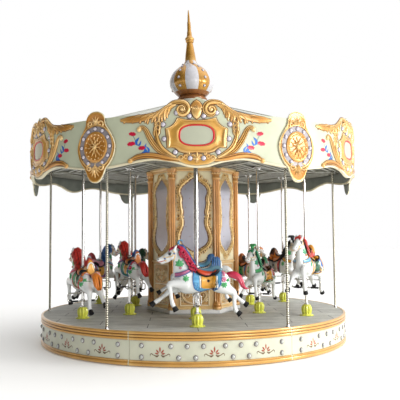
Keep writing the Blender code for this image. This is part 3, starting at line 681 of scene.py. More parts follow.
def half_ornament(shape, flip):
    """The scrolls and bands on one side of a board's frame."""
    gold, deep = GILT_KINDS
    side = flip[0]
    stroke(shape, FRAME_SIDE, 14, [26, 34, 26], [18, 26, 18], gold, ROUND, flip)
    stroke(shape, FRAME_CORNER, 14, 12, 20, gold, ROUND, flip)
    acanthus(shape, flip)
    stroke(shape, np.vstack([TOP_SCROLL, spiral((-168, 2948), 86, 16, 95, -440, 34)]), 90,
           [12, 44, 62, 60, 50, 36, 22], [10, 22, 27, 28, 28], gold, GROOVED, flip)
    ball(shape, (-168 * side, 2948, 6), (24, 24, 23), gold)
    stroke(shape, SIDE_BAND, 60, [12, 36, 46, 48, 46, 34], [12, 20, 22, 20, 12], gold, GROOVED, flip)
    for index in range(3):
        foot = np.array((-448 - 6 * index, 2795 - 45 * index))
        for points, width, height in BAND_LEAVES:
            leaf(shape, foot + points, width, height, gold, 10, flip)
    stroke(shape, OUTER_CURVE, 60, [36, 48, 56, 60, 56, 44, 20], [18, 22, 23, 20, 8], gold, TRIPLE, flip)
    ball(shape, (-668 * side, 2734, 4), (30, 30, 25), gold)
    stroke(shape, LOW_SWAG, 60, [36, 52, 62, 64, 60, 50, 34], [16, 23, 26, 25, 18], deep, GROOVED, flip)
    ball(shape, (-778 * side, 2372, 4), (32, 30, 25), deep)
    curl = spiral((-176, 2392), 36, 8, 250, -160, 20)
    stroke(shape, curl, 30, [24, 18, 10], [14, 20, 20], gold, ROUND, flip)
    for c, s in spokes(6, radians(15)):
        ball(shape, (side * (-128 + 18 * c), 2402 + 18 * s, 6), (12, 12, 13), deep, 8, 5)
    fan(shape, (-85 * side, 2425), 75, 120, 90 + 62 * side, 4, 22, 16)


def ornament():
    """Gilt relief of one canopy board, as closed raised pieces."""
    gold, deep, red, pale, ring, glass, umber = range(7)
    # Umber is the painted shadow round the gilt relief
    shape = Shape(umber)
    outer = radial(whole(CARTOUCHE), CARTOUCHE_MIDDLE, 128)
    inner = radial_oval(CARTOUCHE_MIDDLE, 207, 126, 128, OVAL_POWER)
    shadow_margin(shape, outer, CARTOUCHE_MIDDLE)
    plate(shape, outer, CARTOUCHE_RISE, gold, CARTOUCHE_MIDDLE, inner)
    plate(shape, inner, RED_RISE, red, CARTOUCHE_MIDDLE)
    plate(shape, radial_oval(CARTOUCHE_MIDDLE, 188, 108, 128, OVAL_POWER), PALE_RISE, pale, CARTOUCHE_MIDDLE)
    for flip in FLIPS:
        half_ornament(shape, flip)
    plate(shape, straight(whole(LOW_SHELL), 72), ((0, -SINK), (0, 5), (0.06, 9), (0.3, 9), (0.95, 8)), gold,
          (0, 2365))
    fan(shape, (0, 2376), 94, 150, 90, 5, 40, 27)
    fan(shape, (0, 2372), 52, 150, -90, 5, 26, 22)
    ball(shape, (0, 2374, 6), (20, 20, 21), gold)
    for half, middle, rise, kind in TOP_PLATES:
        edge = straight(whole(half), 40)
        shadow_margin(shape, edge, middle)
        plate(shape, edge, rise, kind, middle)
    fan(shape, (0, 2948), 104, 88, 90, 5, 36, 28)
    for step in range(-3, 4):
        ball(shape, (step * 19.5, 2957 + 1.2 * step ** 2, 20), (9.5, 9, 7.5), gold, 8, 5)
    for u, v in BOARD_BULBS:
        for side in (-1, 1):
            bulb(shape, u * side, v, 4 if v < RAISED_UNDER else 0, 1.0, ring, glass)
    return shape


# The painted sprig: stems, blossoms with their half sizes and tilt, and leaves with their widths
STEMS = (((-748, 2672), (-722, 2620), (-690, 2560), (-640, 2520)), ((-740, 2567), (-705, 2562), (-672, 2548)),
         ((-640, 2515), (-600, 2492), (-575, 2478)))
BLOSSOMS = (((-754, 2686), 44, 23, -8), ((-768, 2572), 50, 24, 6), ((-636, 2518), 44, 23, 4))
SPRIG_LEAVES = ((((-692, 2552), (-706, 2594), (-668, 2644)), 36),
                (((-690, 2552), (-664, 2560), (-646, 2604)), 24),
                (((-562, 2462), (-604, 2510), (-582, 2570)), 32),
                (((-550, 2456), (-600, 2470), (-652, 2452)), 32),
                (((-552, 2456), (-556, 2500), (-590, 2536)), 26))


def sprig():
    """Painted flowers beside the gilt work: three crimson blossoms on blue-leaved stems."""
    shape = Shape()
    flower, green, line = range(3)
    ripple = 1 + 0.10 * np.cos(np.linspace(0, 2 * pi, 40, endpoint=False) * 7)[:, None]
    for flip in FLIPS:
        for points in STEMS:
            stroke(shape, points, 14, 8, 1.2, line, FLAT, flip, 0, 1)
        for spot, wide, high, tilt in BLOSSOMS:
            turn = radians(tilt)
            spin = np.array([[cos(turn), sin(turn)], [-sin(turn), cos(turn)]])
            edge = oval((0, 0), wide, high, 40) * ripple @ spin + spot
            plate(shape, edge * flip, ((0, -1), (0, 1.4), (0.3, 2.2), (0.9, 2.6)), flower, flip * spot)
        for points, width in SPRIG_LEAVES:
            stroke(shape, points, 12, [width * 0.3, width, width * 0.8, 3], 1.6, green, FLAT, flip, 0, 1)
    return shape


# The oval board over a joint: its right half, and its rise with the material of each step
MEDALLION_MIDDLE = (0, 2564)
MEDALLION = ((0, 2992), (55, 2984), (105, 2955), (136, 2905), (138, 2868), (150, 2822), (195, 2752),
             (245, 2670), (274, 2585), (274, 2520), (250, 2435), (205, 2360), (158, 2308), (132, 2262),
             (110, 2208), (62, 2152), (0, 2134))
MEDALLION_RISE = ((0, 0), (0, 3), (0, 14), (0.02, 19), (0.06, 20), (0.10, 13), (0.5, 12), (0.97, 12))
RIM_RISE = ((0, 6), (0, 16), (0.3, 24), (0.7, 24), (1, 15), (1, 8))
RING_RISE = ((0, 8), (0, 13.5), (0.3, 14), (0.6, 14))
DISC_RISE = ((0, 8), (0, 18), (0.04, 24), (0.16, 26), (0.20, 20), (0.30, 16), (0.97, 17))
# Rows of curved leaves of the rosette: number, start in steps, inner radius, length, width, height and gilt
ROSETTE = ((12, 0, 66, 60, 36, 30, 0), (8, 0.5, 22, 64, 44, 40, 0), (12, 0, 50, 76, 22, 24, 1))
ROSETTE_STRETCH = 1.08
MEDALLION_CURLS = (((72, 2838), 46, -60, 330, 30, [28, 22, 12], [22, 30, 30]),
                   ((82, 2318), 50, 100, -300, 32, [32, 24, 12], [24, 32, 32]))
TOP_FANS = (((0, 2830), 140, 150, 90, 7, 54, 30), ((0, 2826), 70, 120, 90, 5, 34, 36))
LOW_FANS = (((0, 2325), 165, 130, -90, 7, 60, 34), ((0, 2330), 85, 110, -90, 5, 36, 40),
            ((0, 2310), 80, 80, 90, 3, 36, 30))
# Nothing of the relief goes deeper than this into the board under it
RELIEF_FLOOR = 2
FAR = 9000


def medallion():
    """Oval board that hides a joint of the canopy: gold rim, pale ring with bulbs, rosette, leaf ends."""
    gold, deep, lilac, ring, glass, trim, back = range(7)
    shape, body = Shape(), Shape()
    centre = np.array(MEDALLION_MIDDLE)
    edge = smooth(whole(MEDALLION), 128, True)
    plate(body, edge, MEDALLION_RISE, [back, trim, trim, gold, deep, deep, deep], centre)
    plate(shape, radial_oval(centre, 250, 268, 96, 2.1), RIM_RISE, gold, centre,
          radial_oval(centre, 236, 248, 96))
    plate(shape, radial_oval(centre, 238, 250, 96), RING_RISE, lilac, centre)
    plate(shape, radial_oval(centre, 172, 186, 96), DISC_RISE, deep, centre)
    for count, first, reach, length, width, height, kind in ROSETTE:
        for c, s in spokes(count, 2 * pi * first / count):
            way = np.array((c, ROSETTE_STRETCH * s))
            start, end = [centre + far * way for far in (reach, reach + length)]
            aside = np.array((-s, c)) * width * 0.35
            stroke(shape, (start, (start + end) / 2 + aside, end), 8, [width * 0.5, width, width * 0.8, 4],
                   [height * 0.7, height, height * 0.9, 14], kind, RIDGE)
    for c, s in spokes(16):
        ball(shape, (137 * c, centre[1] + 149 * s, 20), (10, 10, 8), gold, 8, 5)
    ball(shape, (*centre, 22), (26, 28, 20), gold)
    for index, (c, s) in enumerate(spokes(12, pi / 2)):
        if index != 6:
            bulb(shape, 204 * c, centre[1] + 217 * s, 13.5, 0.84, ring, glass)
    for row in TOP_FANS:
        fan(shape, *row)
    for flip in FLIPS:
        for spot, reach, first, last, count, widths, heights in MEDALLION_CURLS:
            stroke(shape, spiral(spot, reach, 8, first, last, 22), count, widths, heights, gold, ROUND, flip)
        leaf(shape, ((0, 2370), (60, 2390), (130, 2376)), 36, 28, gold, 10, flip)
    for row in LOW_FANS:
        fan(shape, *row)
    clear = Shape()
    clear.include(shape, lambda points: np.maximum(points, (-FAR, -FAR, RELIEF_FLOOR)))
    clear.include(body)
    return clear


def make_canopy():
    curved = on_cylinder(BOARD_R)
    board = build(make_board(), "fascia_board", [CREAM, CREAM_TRIM, BOARD_BACK], curved, 30)
    relief = build(ornament(), "fascia_relief",
                   [GOLD, GOLD_DEEP, RED_RING, PALE, BULB_RING, BULB, UMBER], curved,
                   50, 0.35)
    flowers = build(sprig(), "fascia_sprig", [CRIMSON, BLUE_LEAF, STEM], curved, 40, 0.45)
    oval_board = build(medallion(), "medallion",
                       [GOLD, GOLD_DEEP, LILAC, BULB_RING, BULB, CREAM_TRIM, BOARD_BACK],
                       on_cylinder(BOARD_R + 1), 50, 0.60)
    nudge = degrees(RELIEF_SHIFT / BOARD_R)
    for index in range(SIDES):
        angle = index * 60
        number = index + 1
        place(board, f"canopy_board_{number}", [f"fascia_panel_{number}"], turned(angle))
        place(relief, f"canopy_relief_{number}", (), turned(angle + nudge))
        place(flowers, f"canopy_sprigs_{number}", (), turned(angle + nudge))
        place(oval_board, f"canopy_medallion_{number}", [f"fascia_medallion_{number}"],
              turned(angle + HALF_SIDE))


# Roof and ceiling

# The roof sheet and its neck: radius and height of the cross section
ROOF_LINE = ((244, 3538), (2369, 2848), (2369, 2860), (262, 3553), (250, 3560), (250, 3600), (20, 3600),
             (20, 3560), (244, 3556))
SEAMS = 24
SEAM_SIZE = 11
SLAT_STEPS = 17
SLAT_PITCH = 96
SLAT_START = 700
SLAT_HALF = 20
SLAT_LEVELS = (2499, 2522.5)
ARM = (-30, 30, -2140, -660, 2488, 2522.5)
POLE_COLLAR = ((23.5, 2472), (40, 2472), (46, 2480), (46, 2490), (64, 2496), (64, 2521), (23.5, 2521))


def make_roof():
    """Sheet roof with raised seams and its neck."""
    shape = Shape()
    lathe(shape, ROOF_LINE, 96, 0, closed=True)
    (outer, low), (inner, high) = ROOF_LINE[2:4]
    reach = np.linspace(270, 2355, 12)
    height = high + (low - high) * (reach - inner) / (outer - inner) + 2
    for c, s in spokes(SEAMS, pi / SEAMS):
        tube(shape, np.stack([reach * s, -reach * c, height], 1), SEAM_SIZE, 0, 8, 0.8)
    place(build(shape, "roof", [ROOF], None, 30), "canopy_roof_sheet", ["canopy_roof"])


def make_ceiling():
    """Slats and arms under the ceiling, which leave room for the horse poles, and the poles' collars."""
    under, collars = Shape(), Shape()
    for index in range(SIDES):
        spin = np.array(Matrix.Rotation(radians(60 * index), 3, "Z"))
        for step in range(SLAT_STEPS):
            reach = SLAT_START + step * SLAT_PITCH
            if min(abs(reach - OUTER_RING), abs(reach - INNER_RING)) < 36:
                continue
            half = min(reach * 0.5773 - 30, (2350 ** 2 - (reach + SLAT_HALF) ** 2) ** 0.5)
            slat = slab(-half, half, -reach - SLAT_HALF, -reach + SLAT_HALF, *SLAT_LEVELS)
            under.add(slat @ spin.T, BOX_FACES)
        arm = np.array(Matrix.Rotation(radians(60 * index + HALF_SIDE), 3, "Z"))
        under.add(slab(*ARM) @ arm.T, BOX_FACES)
        for ring in (OUTER_RING, INNER_RING):
            turn = radians(60 * index)
            lathe(collars, POLE_COLLAR, 20, 0, (ring * sin(turn), -ring * cos(turn)), True)
    place(build(under, "ceiling_slats", [SLAT], None, 30), "ceiling_slats")
    place(build(collars, "pole_collars", [CHROME], None, 30), "pole_collars")


# Dome and spire: radius and height over the dome's base

DOME_LINE = ((205, 82), (232, 98), (287, 156), (331, 222), (346, 270), (342, 325), (320, 389), (287, 446),
             (232, 503), (182, 546), (124, 592), (96, 640))
DOME_COLLAR = ((20, 0), (240, 0), (240, 20), (228, 26), (232, 40), (222, 54), (205, 66), (200, 90), (30, 95))
SPIRE_LINE = ((88, 640.3), (84, 690), (78, 740), (69, 800), (60, 860), (52, 915), (47, 935), (58, 943),
              (65, 957), (60, 972), (66, 980), (72.5, 995), (70, 1010), (56, 1024), (46, 1038), (40, 1060),
              (36, 1116), (31, 1122), (29, 1200), (27.5, 1266), (22, 1273), (15, 1380), (9, 1440), (5, 1468))
# Height and size of the bulbs on each gilt gore
DOME_BULBS = ((196, 0.74), (319, 0.74), (436, 0.74), (514, 0.66), (568, 0.58))
GORES = 10
GORE_STRIPS = 10
GORE_TURN = 360 / GORES
GORE_LOW = 130
GORE_SWELL = 8


def leaning(points):
    points = points.copy()
    points[:, 0] -= LEAN * (points[:, 2] - DOME_BASE)
    return points


def raised(profile, base):
    """A profile with its heights measured from a base."""
    return [(r, base + z, *share) for r, z, *share in profile]


def gore_twist(h):
    """The gores run straight up the dome and swing round by one gore as they close on the spire."""
    share = np.clip((h - 480) / 160, 0, 1)
    return -GORE_TURN * share * share * (3 - 2 * share)


def dome_bulb(shape, angle, h, line, size, ring, glass):
    """A bulb that stands square on the dome."""
    small = Shape()
    bulb(small, 0, 0, 0, size, ring, glass)
    radius = float(np.interp(h, line[:, 1], line[:, 0])) - 2
    slope = np.gradient(line[:, 0], line[:, 1])
    tilt = np.arctan(float(np.interp(h, line[:, 1], slope)))
    u, v, rise = np.vstack(small.points).T
    out = rise * cos(tilt) + v * sin(tilt) + radius
    height = v * cos(tilt) - rise * sin(tilt) + DOME_BASE + h
    a = radians(angle)
    shape.add(np.stack([out * sin(a) + u * cos(a), u * sin(a) - out * cos(a), height], 1),
              small.faces, small.kinds)


def make_dome():
    """Ten gores, white and gilt by turns, with bulbs on the gilt ones, over a red-brown collar."""
    gilt, white, ring, glass, collar = range(5)
    shape = Shape()
    line = smooth(DOME_LINE, 40)
    around = GORES * GORE_STRIPS
    turn = np.radians(np.arange(around) * GORE_TURN / GORE_STRIPS - GORE_TURN / 2)
    swell = GORE_SWELL * np.abs(np.cos(GORES / 2 * turn)) ** 0.5
    rings = []
    for r, h in line:
        reach = r - GORE_SWELL + swell * np.clip((r - 80) / 150, 0, 1)
        spun = turn + radians(gore_twist(h))
        rings.append(np.stack([reach * np.sin(spun), -reach * np.cos(spun),
                               np.full(around, DOME_BASE + h)], 1))
    strips = [gilt if (c // GORE_STRIPS) % 2 else white for c in range(around)]
    kinds = [kind for h in line[:-1, 1] for kind in ([collar] * around if h < GORE_LOW else strips)]
    shape.add(np.vstack(rings), capped(len(line), around), kinds + [collar, gilt])
    lathe(shape, raised(DOME_COLLAR, DOME_BASE), 64, collar)
    for index in range(GORES // 2):
        for h, size in DOME_BULBS:
            dome_bulb(shape, (2 * index + 1) * GORE_TURN + gore_twist(h), h, line, size, ring, glass)
    mesh = build(shape, "onion_dome", [DOME_GILT, LILAC_WHITE, BULB_RING, BULB, RED_BROWN], leaning, 45)
    place(mesh, "onion_dome", ["dome"])
    spire = Shape()
    lathe(spire, raised(SPIRE_LINE, DOME_BASE), 32, gilt)
    place(build(spire, "spire", [DOME_GILT], leaning, 40), "dome_spire", ["spire"])


# Skirt: radius and height of its section, with three ribs over the cream band

SKIRT_SECTION = ((2215.2, 12), (2244, 12), (2249, 20), (2249.5, 40), (2246, 50), (2243, 53), (2246, 58),
                 (2246, 68), (2238, 75), (2235.2, 76), (2235.2, 303), (2238, 304))
SKIRT_RIB = ((2240, 0), (2247, 4), (2249.8, 12), (2249.8, 20), (2247, 28), (2240, 31))
SKIRT_RIBS = (306, 339, 372)
SKIRT_TOP = ((2236, 404.8), (2215.2, 404.8))
CREAM_FOOT = 76
SKIRT_STEPS = 28
SEAM_STRIP = 0.32
SEAM_GAP = 0.05
SECTOR = 360 / SKIRT_PANELS
# Painted lotuses: angles, height of the foot, lean and length of the petals, and the scrolls beside them
LOTUS_AT = (-16.1, 0, 16.1)
LOTUS_FOOT = 150
LOTUS_PETALS = ((14, 66), (48, 74), (90, 90), (132, 74), (166, 66))
LOTUS_SCROLLS = ((((12, -6), (48, -16), (84, -6), (106, 8), (124, 0), (122, -20)), [4, 12, 9, 10, 4]),
                 (((16, -12), (40, -26), (60, -24)), [5, 12, 3]))
# Angles of the bulbs in the upper and the lower row
BULB_ROWS = ((245, (-12.85, -8.05, -3.25, 3.25, 8.05, 12.85)), (115, (-10.55, -5.55, 5.55, 10.55)))
END_BULB = SECTOR / 2 - 3.9
SKIRT_BULB_SIZE = 0.92


def lotus_paint(shape, middle, lotus, scroll):
    foot = np.array((middle, LOTUS_FOOT))
    for lean, length in LOTUS_PETALS:
        way = length * np.array((cos(radians(lean)), sin(radians(lean))))
        stroke(shape, (foot + way * 0.28, foot + way * 0.6, foot + way), 9, [4, 19, 20, 2], 1.2, lotus,
               FLAT, 1, 0, 1)
    for side in (-1, 1):
        for curve, widths in LOTUS_SCROLLS:
            stroke(shape, foot + np.array(curve) * (side, 1), 22, widths, 1.2, scroll, FLAT, 1, 0, 1)


def make_skirt():
    """Seven curved skirt panels with ribbed gold mouldings, painted lotuses and two rows of bulbs."""
    gold, cream, ring, glass, lotus, scroll, seam = range(7)
    shape, paint_work = Shape(), Shape()
    ribs = [point for low in SKIRT_RIBS for point in raised(SKIRT_RIB, low)]
    line = np.array([*SKIRT_SECTION, *ribs, *SKIRT_TOP])
    kinds = [cream if z == CREAM_FOOT else gold for z in line[:, 1]]
    ends = [cream if kind == cream else seam for kind in kinds]
    half = SECTOR / 2 - SEAM_GAP
    turn = np.radians(np.r_[np.linspace(-half, half - SEAM_STRIP, SKIRT_STEPS), half])
    points = np.stack([np.outer(np.sin(turn), line[:, 0]), -np.outer(np.cos(turn), line[:, 0]),
                       np.tile(line[:, 1], (SKIRT_STEPS + 1, 1))], 2)
    shape.add(points, capped(SKIRT_STEPS + 1, len(line)), kinds * (SKIRT_STEPS - 1) + ends + [gold, gold])
    for middle in LOTUS_AT:
        lotus_paint(paint_work, radians(middle) * BOARD_R, lotus, scroll)
    for z, angles in BULB_ROWS:
        for angle in (-END_BULB, *angles, END_BULB):
            bulb(paint_work, radians(angle) * BOARD_R, z, 0, SKIRT_BULB_SIZE, ring, glass)
    shape.include(paint_work, on_cylinder(SKIRT_BAND))
    paints = [SKIRT_GILT, SKIRT_CREAM, BULB_RING, GREY_BULB, LOTUS, LOTUS_DARK, CREAM_TRIM]
    mesh = build(shape, "skirt", paints, None, 35, 0.80)
    for index in range(SKIRT_PANELS):
        place(mesh, f"platform_skirt_{index + 1}", [f"skirt_panel_{index + 1}"],
              turned(SKIRT_SEAM + (index + 0.5) * SECTOR))


# Floor guides and rim poles: radius, height over the deck and share of the flutes' depth

GUIDE_LINE = ((20.5, 0), (99, 0, 0.5), (100, 6, 0.5), (94, 12, 0.5), (74, 19, 0.4), (64, 28, 0.4),
              (66, 36, 1), (72, 55, 1), (76, 80, 1), (75, 104, 1), (69, 122, 1), (60, 134, 0.5), (54, 138),
              (56, 144), (50, 150), (20.5, 151))
GUIDE_BUSH = ((20.5, 149), (33, 149), (35, 155), (35, 164), (29, 170), (20.5, 171))
GUIDE_BOLT = ((7, -2), (7, 5), (4, 7))
RIM_FOOT = ((4, 0), (30, 0), (30, 8), (22, 14), (18, 30), (4, 30))
RIM_LOW = DECK_TOP + 12
RIM_HIGH = 2519.5
RIM_ROWS = 330
RIM_AROUND = 12
STRANDS = 3
STRAND_PITCH = 82


def make_guides():
    shape = Shape()
    lathe(shape, raised(GUIDE_LINE, DECK_TOP), 80, 0, (0, 0), True, 10, 13)
    lathe(shape, raised(GUIDE_BUSH, DECK_TOP), 32, 1, (0, 0), True)
    for c, s in spokes(8, 0.2):
        button(shape, (86 * c, 86 * s, DECK_TOP + 12), GUIDE_BOLT, 1, 6)
    mesh = build(shape, "floor_guide", [GUIDE, CHROME], None, 35, 0.65)
    for ring, radius in (("outer", OUTER_RING), ("inner", INNER_RING)):
        for index in range(SIDES):
            place(mesh, f"guide_{ring}_{index + 1}", [f"floor_guide_{ring}_{index + 1}"],
                  turned(60 * index, radius))


def make_rim_poles():
    """Poles of three twisted strands, each in a round foot."""
    shape = Shape()
    turn = np.linspace(0, 2 * pi, RIM_AROUND, endpoint=False)
    reach = 17.5 - 4.8 * (0.5 - 0.5 * np.cos(STRANDS * turn)) ** 1.3
    rings = []
    for z in np.linspace(RIM_LOW, RIM_HIGH, RIM_ROWS):
        spin = turn + (z - RIM_LOW) / STRAND_PITCH * 2 * pi
        rings.append(np.stack([reach * np.cos(spin), reach * np.sin(spin), np.full(RIM_AROUND, z)], 1))
    strand = [2 if cos(STRANDS * (t + pi / RIM_AROUND)) < 0 else 0 for t in turn]
    shape.add(np.vstack(rings), capped(RIM_ROWS, RIM_AROUND), strand * (RIM_ROWS - 1) + [0, 0])
    lathe(shape, raised(RIM_FOOT, DECK_TOP), 24, 1)
    mesh = build(shape, "rim_pole", [ROPE, CHROME, GROOVE], None, 60, 0.75)
    for index in range(SIDES):
        place(mesh, f"rope_pole_{index + 1}", [f"rim_pole_{index + 1}"],
              turned(HALF_SIDE + 60 * index, RIM_RING))


# Centre housing

MIRROR_HALF = ((0, 2376), (45, 2366), (90, 2326), (140, 2288), (190, 2243), (222, 2180), (220, 2110),
               (196, 2056), (206, 1990), (196, 1910), (182, 1850), (196, 1795), (176, 1725), (186, 1650),
               (214, 1580), (234, 1490), (226, 1415), (180, 1352), (120, 1312), (56, 1268), (0, 1240))
MIRROR_MIDDLE = (0, 1820)
FRAME_LIMIT = 262
FRAME_WIDTHS = (30, 46, 52, 42, 56, 44, 50, 40, 56, 44, 30)
FRAME_HEIGHTS = (18, 24, 27, 22, 27, 22)
FRAME_SHADOW_WIDTH = 82
# Scrolls on the mirror frame: centre, radius, first and last angle
FRAME_SCROLLS = (((50, 2404), 36, -70, 300), ((150, 2304), 26, 200, -120), ((222, 2092), 26, -80, 250),
                 ((214, 1940), 30, 160, 520), ((180, 1806), 32, 200, 560), ((222, 1752), 30, 160, -200),
                 ((212, 1640), 26, 200, 520), ((236, 1540), 22, 100, -250), ((186, 1362), 28, 90, -250),
                 ((60, 1230), 32, 100, 440))
STUDS = ((-125, 2190), (-60, 2055), (-120, 1925), (-60, 1785), (-120, 1645), (-60, 1500))
STUD_LINE = ((7, -2), (7, 2), (4, 4))
DADO = ((-205, 512), (205, 512), (205, 1098), (-205, 1098))
DADO_RISE = ((0, -6), (0, 8), (0.04, 10), (0.10, 5), (0.95, 5))
DADO_SIDE = ((205, 515), (207, 800), (205, 1095))
DADO_BARS = (516, 806, 1094)
DADO_TIERS = (656, 956)


def frame_leaves(shape, line, flip, kind):
    """Short leaves that stand out all along the mirror frame, of three lengths."""
    out = np.stack([-np.gradient(line[:, 1]), np.gradient(line[:, 0])], 1)
    out /= np.linalg.norm(out, axis=1)[:, None]
    out *= np.where(((line - MIRROR_MIDDLE) * out).sum(1) < 0, -1, 1)[:, None]
    for index in range(5, len(line) - 4, 3):
        foot, away = line[index], out[index]
        ahead = np.array([-away[1], away[0]]) * (1 if foot[1] > MIRROR_MIDDLE[1] else -1)
        reach = 40 + 13 * (index // 3 % 3)
        tip = foot + away * reach + ahead * 26
        tip[0] = min(tip[0], FRAME_LIMIT)
        leaf(shape, (foot, foot + away * reach * 0.7 - ahead * 6, tip), 26, 26, kind, 8, flip)
        if index % 2:
            tips = (foot, foot - away * 20 + ahead * 4, foot - away * 30 + ahead * 18)
            leaf(shape, tips, 20, 20, kind, 7, flip)


def housing_face():
    """Mirror in a leafy gilt frame, and the scroll panel under it."""
    gold, deep, glass, umber, dado, relief = range(6)
    shape = Shape()
    edge = smooth(whole(MIRROR_HALF), 160, True)
    plate(shape, edge, ((0, -6), (0, 0.8), (0.5, 1), (0.97, 1)), glass, MIRROR_MIDDLE)
    for u, z in STUDS:
        button(shape, (u, z, 1), STUD_LINE, umber, 8)
    line = smooth(MIRROR_HALF, 120)
    for flip in FLIPS:
        # A flat umber band wider than the frame: painted shadow round the mirror frame
        sweep(shape, line * flip, FRAME_SHADOW_WIDTH, SHADOW_LINE_HEIGHT, umber, FLAT)
        sweep(shape, line * flip, FRAME_WIDTHS, FRAME_HEIGHTS, gold, GROOVED)
        frame_leaves(shape, line, flip, gold)
        for spot, reach, first, last in FRAME_SCROLLS:
            sweep(shape, spiral(spot, reach, 6, first, last, 22) * flip, [24, 18, 10], [20, 30, 30], deep)
        stroke(shape, ((12, 1280), (40, 1225), (18, 1180), (0, 1160)), 16, [22, 28, 12], [18, 20, 12], gold,
               ROUND, flip)
        leaf(shape, ((10, 1265), (60, 1205), (52, 1160)), 26, 20, gold, 10, flip)
        leaf(shape, ((30, 2385), (66, 2415), (62, 2442)), 24, 20, gold, 10, flip)
        for z in DADO_TIERS:
            curl = np.vstack([[(20, z - 115), (115, z - 85)], spiral((112, z + 10), 66, 14, -50, 430, 26)])
            stroke(shape, curl, 44, [16, 40, 32, 18], [14, 22, 24, 22], relief, GROOVED, flip, 4)
            fan(shape, (148 * flip[0], z - 55), 80, 110, 90 - 95 * flip[0], 4, 28, 20, relief)
        stroke(shape, DADO_SIDE, 20, 24, 18, relief, ROUND, flip)
    plate(shape, straight(DADO, 80), DADO_RISE, dado, (0, 800))
    for z in DADO_BARS:
        stroke(shape, ((-205, z), (0, z), (205, z)), 12, 22, 16, relief)
    for z in DADO_TIERS:
        fan(shape, (0, z - 20), 100, 130, 90, 5, 30, 20, relief)
        fan(shape, (0, z - 40), 70, 130, -90, 5, 26, 18, relief)
    fan(shape, (0, 2385), 62, 130, 90, 5, 24, 24)
    fan(shape, (0, 1225), 72, 120, -90, 5, 22, 20)
    ball(shape, (0, 1240, 6), (16, 16, 18), deep)
    return shape


# The six-sided core: corner radius and height of each level, and the paint between levels
CORE_FOOT = 400.3
CORE_BOARD = (FACE - 0.6) / cos(pi / 6)
CORE_LEVELS = (
    (((CORE_BOARD, CORE_FOOT + 20), (CORE_BOARD, 1105), (CORE_BOARD, 1120), (CORE_BOARD, 2490)), (1, 1, 0)),
    (((706, 400.3), (710, 404.3), (710, 450.3), (700, 460.3), (660, 462.3)), (2, 2, 2, 2)),
    (((655, 461.3), (655, 480.3), (642, 492.3)), (1, 1)),
    (((640, 2452), (650, 2458), (650, 2470), (672, 2488), (680, 2496), (680, 2520)), (1, 1, 1, 1, 1)),
    (((640, 1118), (652, 1124), (652, 1140), (640, 1148)), (1, 1, 1)),
)
POST_RING = 645
POST_FLUTES = 10
POST_LINE = ((60, 456), (64, 470), (64, 500), (56, 508), (60, 520), (60, 530), (52, 545), (50, 560),
             (50, 580, 1), (50, 2310, 1), (50, 2325), (58, 2334), (61, 2346), (57, 2358), (51, 2364),
             (52, 2392), (60, 2398), (62, 2412), (60, 2428), (65, 2440), (71, 2458), (74, 2480), (74, 2498))
POST_BEADS = (61, 2414)


def corners(reach):
    turns = [radians(HALF_SIDE + 60 * index) for index in range(SIDES)]
    return [(reach * sin(turn), -reach * cos(turn)) for turn in turns]


def make_housing():
    core, posts = Shape(), Shape()
    for levels, kinds in CORE_LEVELS:
        rings = [[(x, y, z) for x, y in corners(reach)] for reach, z in levels]
        core.add(np.vstack(rings), capped(len(levels), SIDES), band_kinds(kinds, SIDES))
    bead_ring, bead_z = POST_BEADS
    for x, y in corners(POST_RING):
        lathe(posts, POST_LINE, 80, 0, (x, y), False, POST_FLUTES, 14, 0.5)
        for c, s in spokes(POST_FLUTES):
            ball(posts, (x + bead_ring * c, y + bead_ring * s, bead_z), (11, 11, 13), 0, 8, 5)
    place(build(core, "housing_core", [IVORY, POST_GOLD, WHITE], None, 20), "housing_core",
          ["centre_housing"])
    place(build(posts, "housing_posts", [POST_GOLD], None, 45, 0.65), "housing_posts")
    mesh = build(housing_face(), "housing_face", [FRAME_GILT, GOLD, MIRROR, UMBER, DADO_PAINT, DADO_RELIEF],
                 on_face, 50, 0.30)
    for index in range(SIDES):
        place(mesh, f"mirror_panel_{index + 1}", (), turned(60 * index))


# Horses, seen from their side: x runs backwards from the pole, z up

# Rings of the body and the head: x, z, half height, half width and tilt in degrees
TORSO = ((408, 968, 40, 35, 0), (392, 972, 88, 70, 0), (350, 978, 132, 108, 0), (280, 976, 156, 132, 0),
         (200, 962, 152, 134, 0), (100, 948, 138, 128, 0), (0, 944, 138, 126, 0), (-80, 950, 152, 128, 3),
         (-140, 968, 166, 122, 12), (-180, 1020, 150, 100, 38), (-192, 1090, 126, 78, 58),
         (-204, 1170, 102, 62, 64), (-224, 1240, 78, 53, 60), (-250, 1300, 54, 45, 48),
         (-266, 1322, 32, 32, 40))
HEAD = ((-228, 1316, 26, 28, -25), (-256, 1306, 56, 46, -25), (-292, 1288, 73, 55, -25),
        (-330, 1270, 64, 50, -25), (-375, 1249, 48, 41, -25), (-420, 1229, 38, 35, -25),
        (-452, 1217, 34, 34, -25), (-478, 1209, 30, 31, -25), (-492, 1203, 16, 18, -25))
RING_UNITS = (1000, 1000, 1000, 1000, 1)
# Side, and x, z and radius down each leg
LEG_Y = 76
LEGS = (
    (-1, ((-120, 925, 86), (-200, 930, 70), (-275, 932, 52), (-328, 926, 43), (-340, 893, 37),
          (-328, 840, 27), (-319, 770, 24), (-310, 712, 26), (-303, 688, 31), (-290, 662, 27), (-280, 645, 30))),
    (1, ((-120, 895, 84), (-210, 872, 66), (-280, 852, 50), (-326, 838, 42), (-358, 812, 34), (-405, 773, 26),
         (-455, 735, 25), (-488, 712, 30), (-515, 696, 27), (-530, 686, 30))),
    (-1, ((255, 930, 118), (325, 885, 94), (382, 848, 62), (430, 826, 46), (447, 790, 36), (447, 735, 28),
          (449, 675, 25), (454, 625, 27), (462, 603, 32), (480, 585, 27), (490, 577, 30))),
    (1, ((255, 930, 116), (330, 875, 90), (385, 838, 60), (428, 812, 46), (458, 782, 36), (495, 745, 28),
         (532, 712, 26), (556, 692, 30), (580, 675, 27), (592, 666, 30))),
)
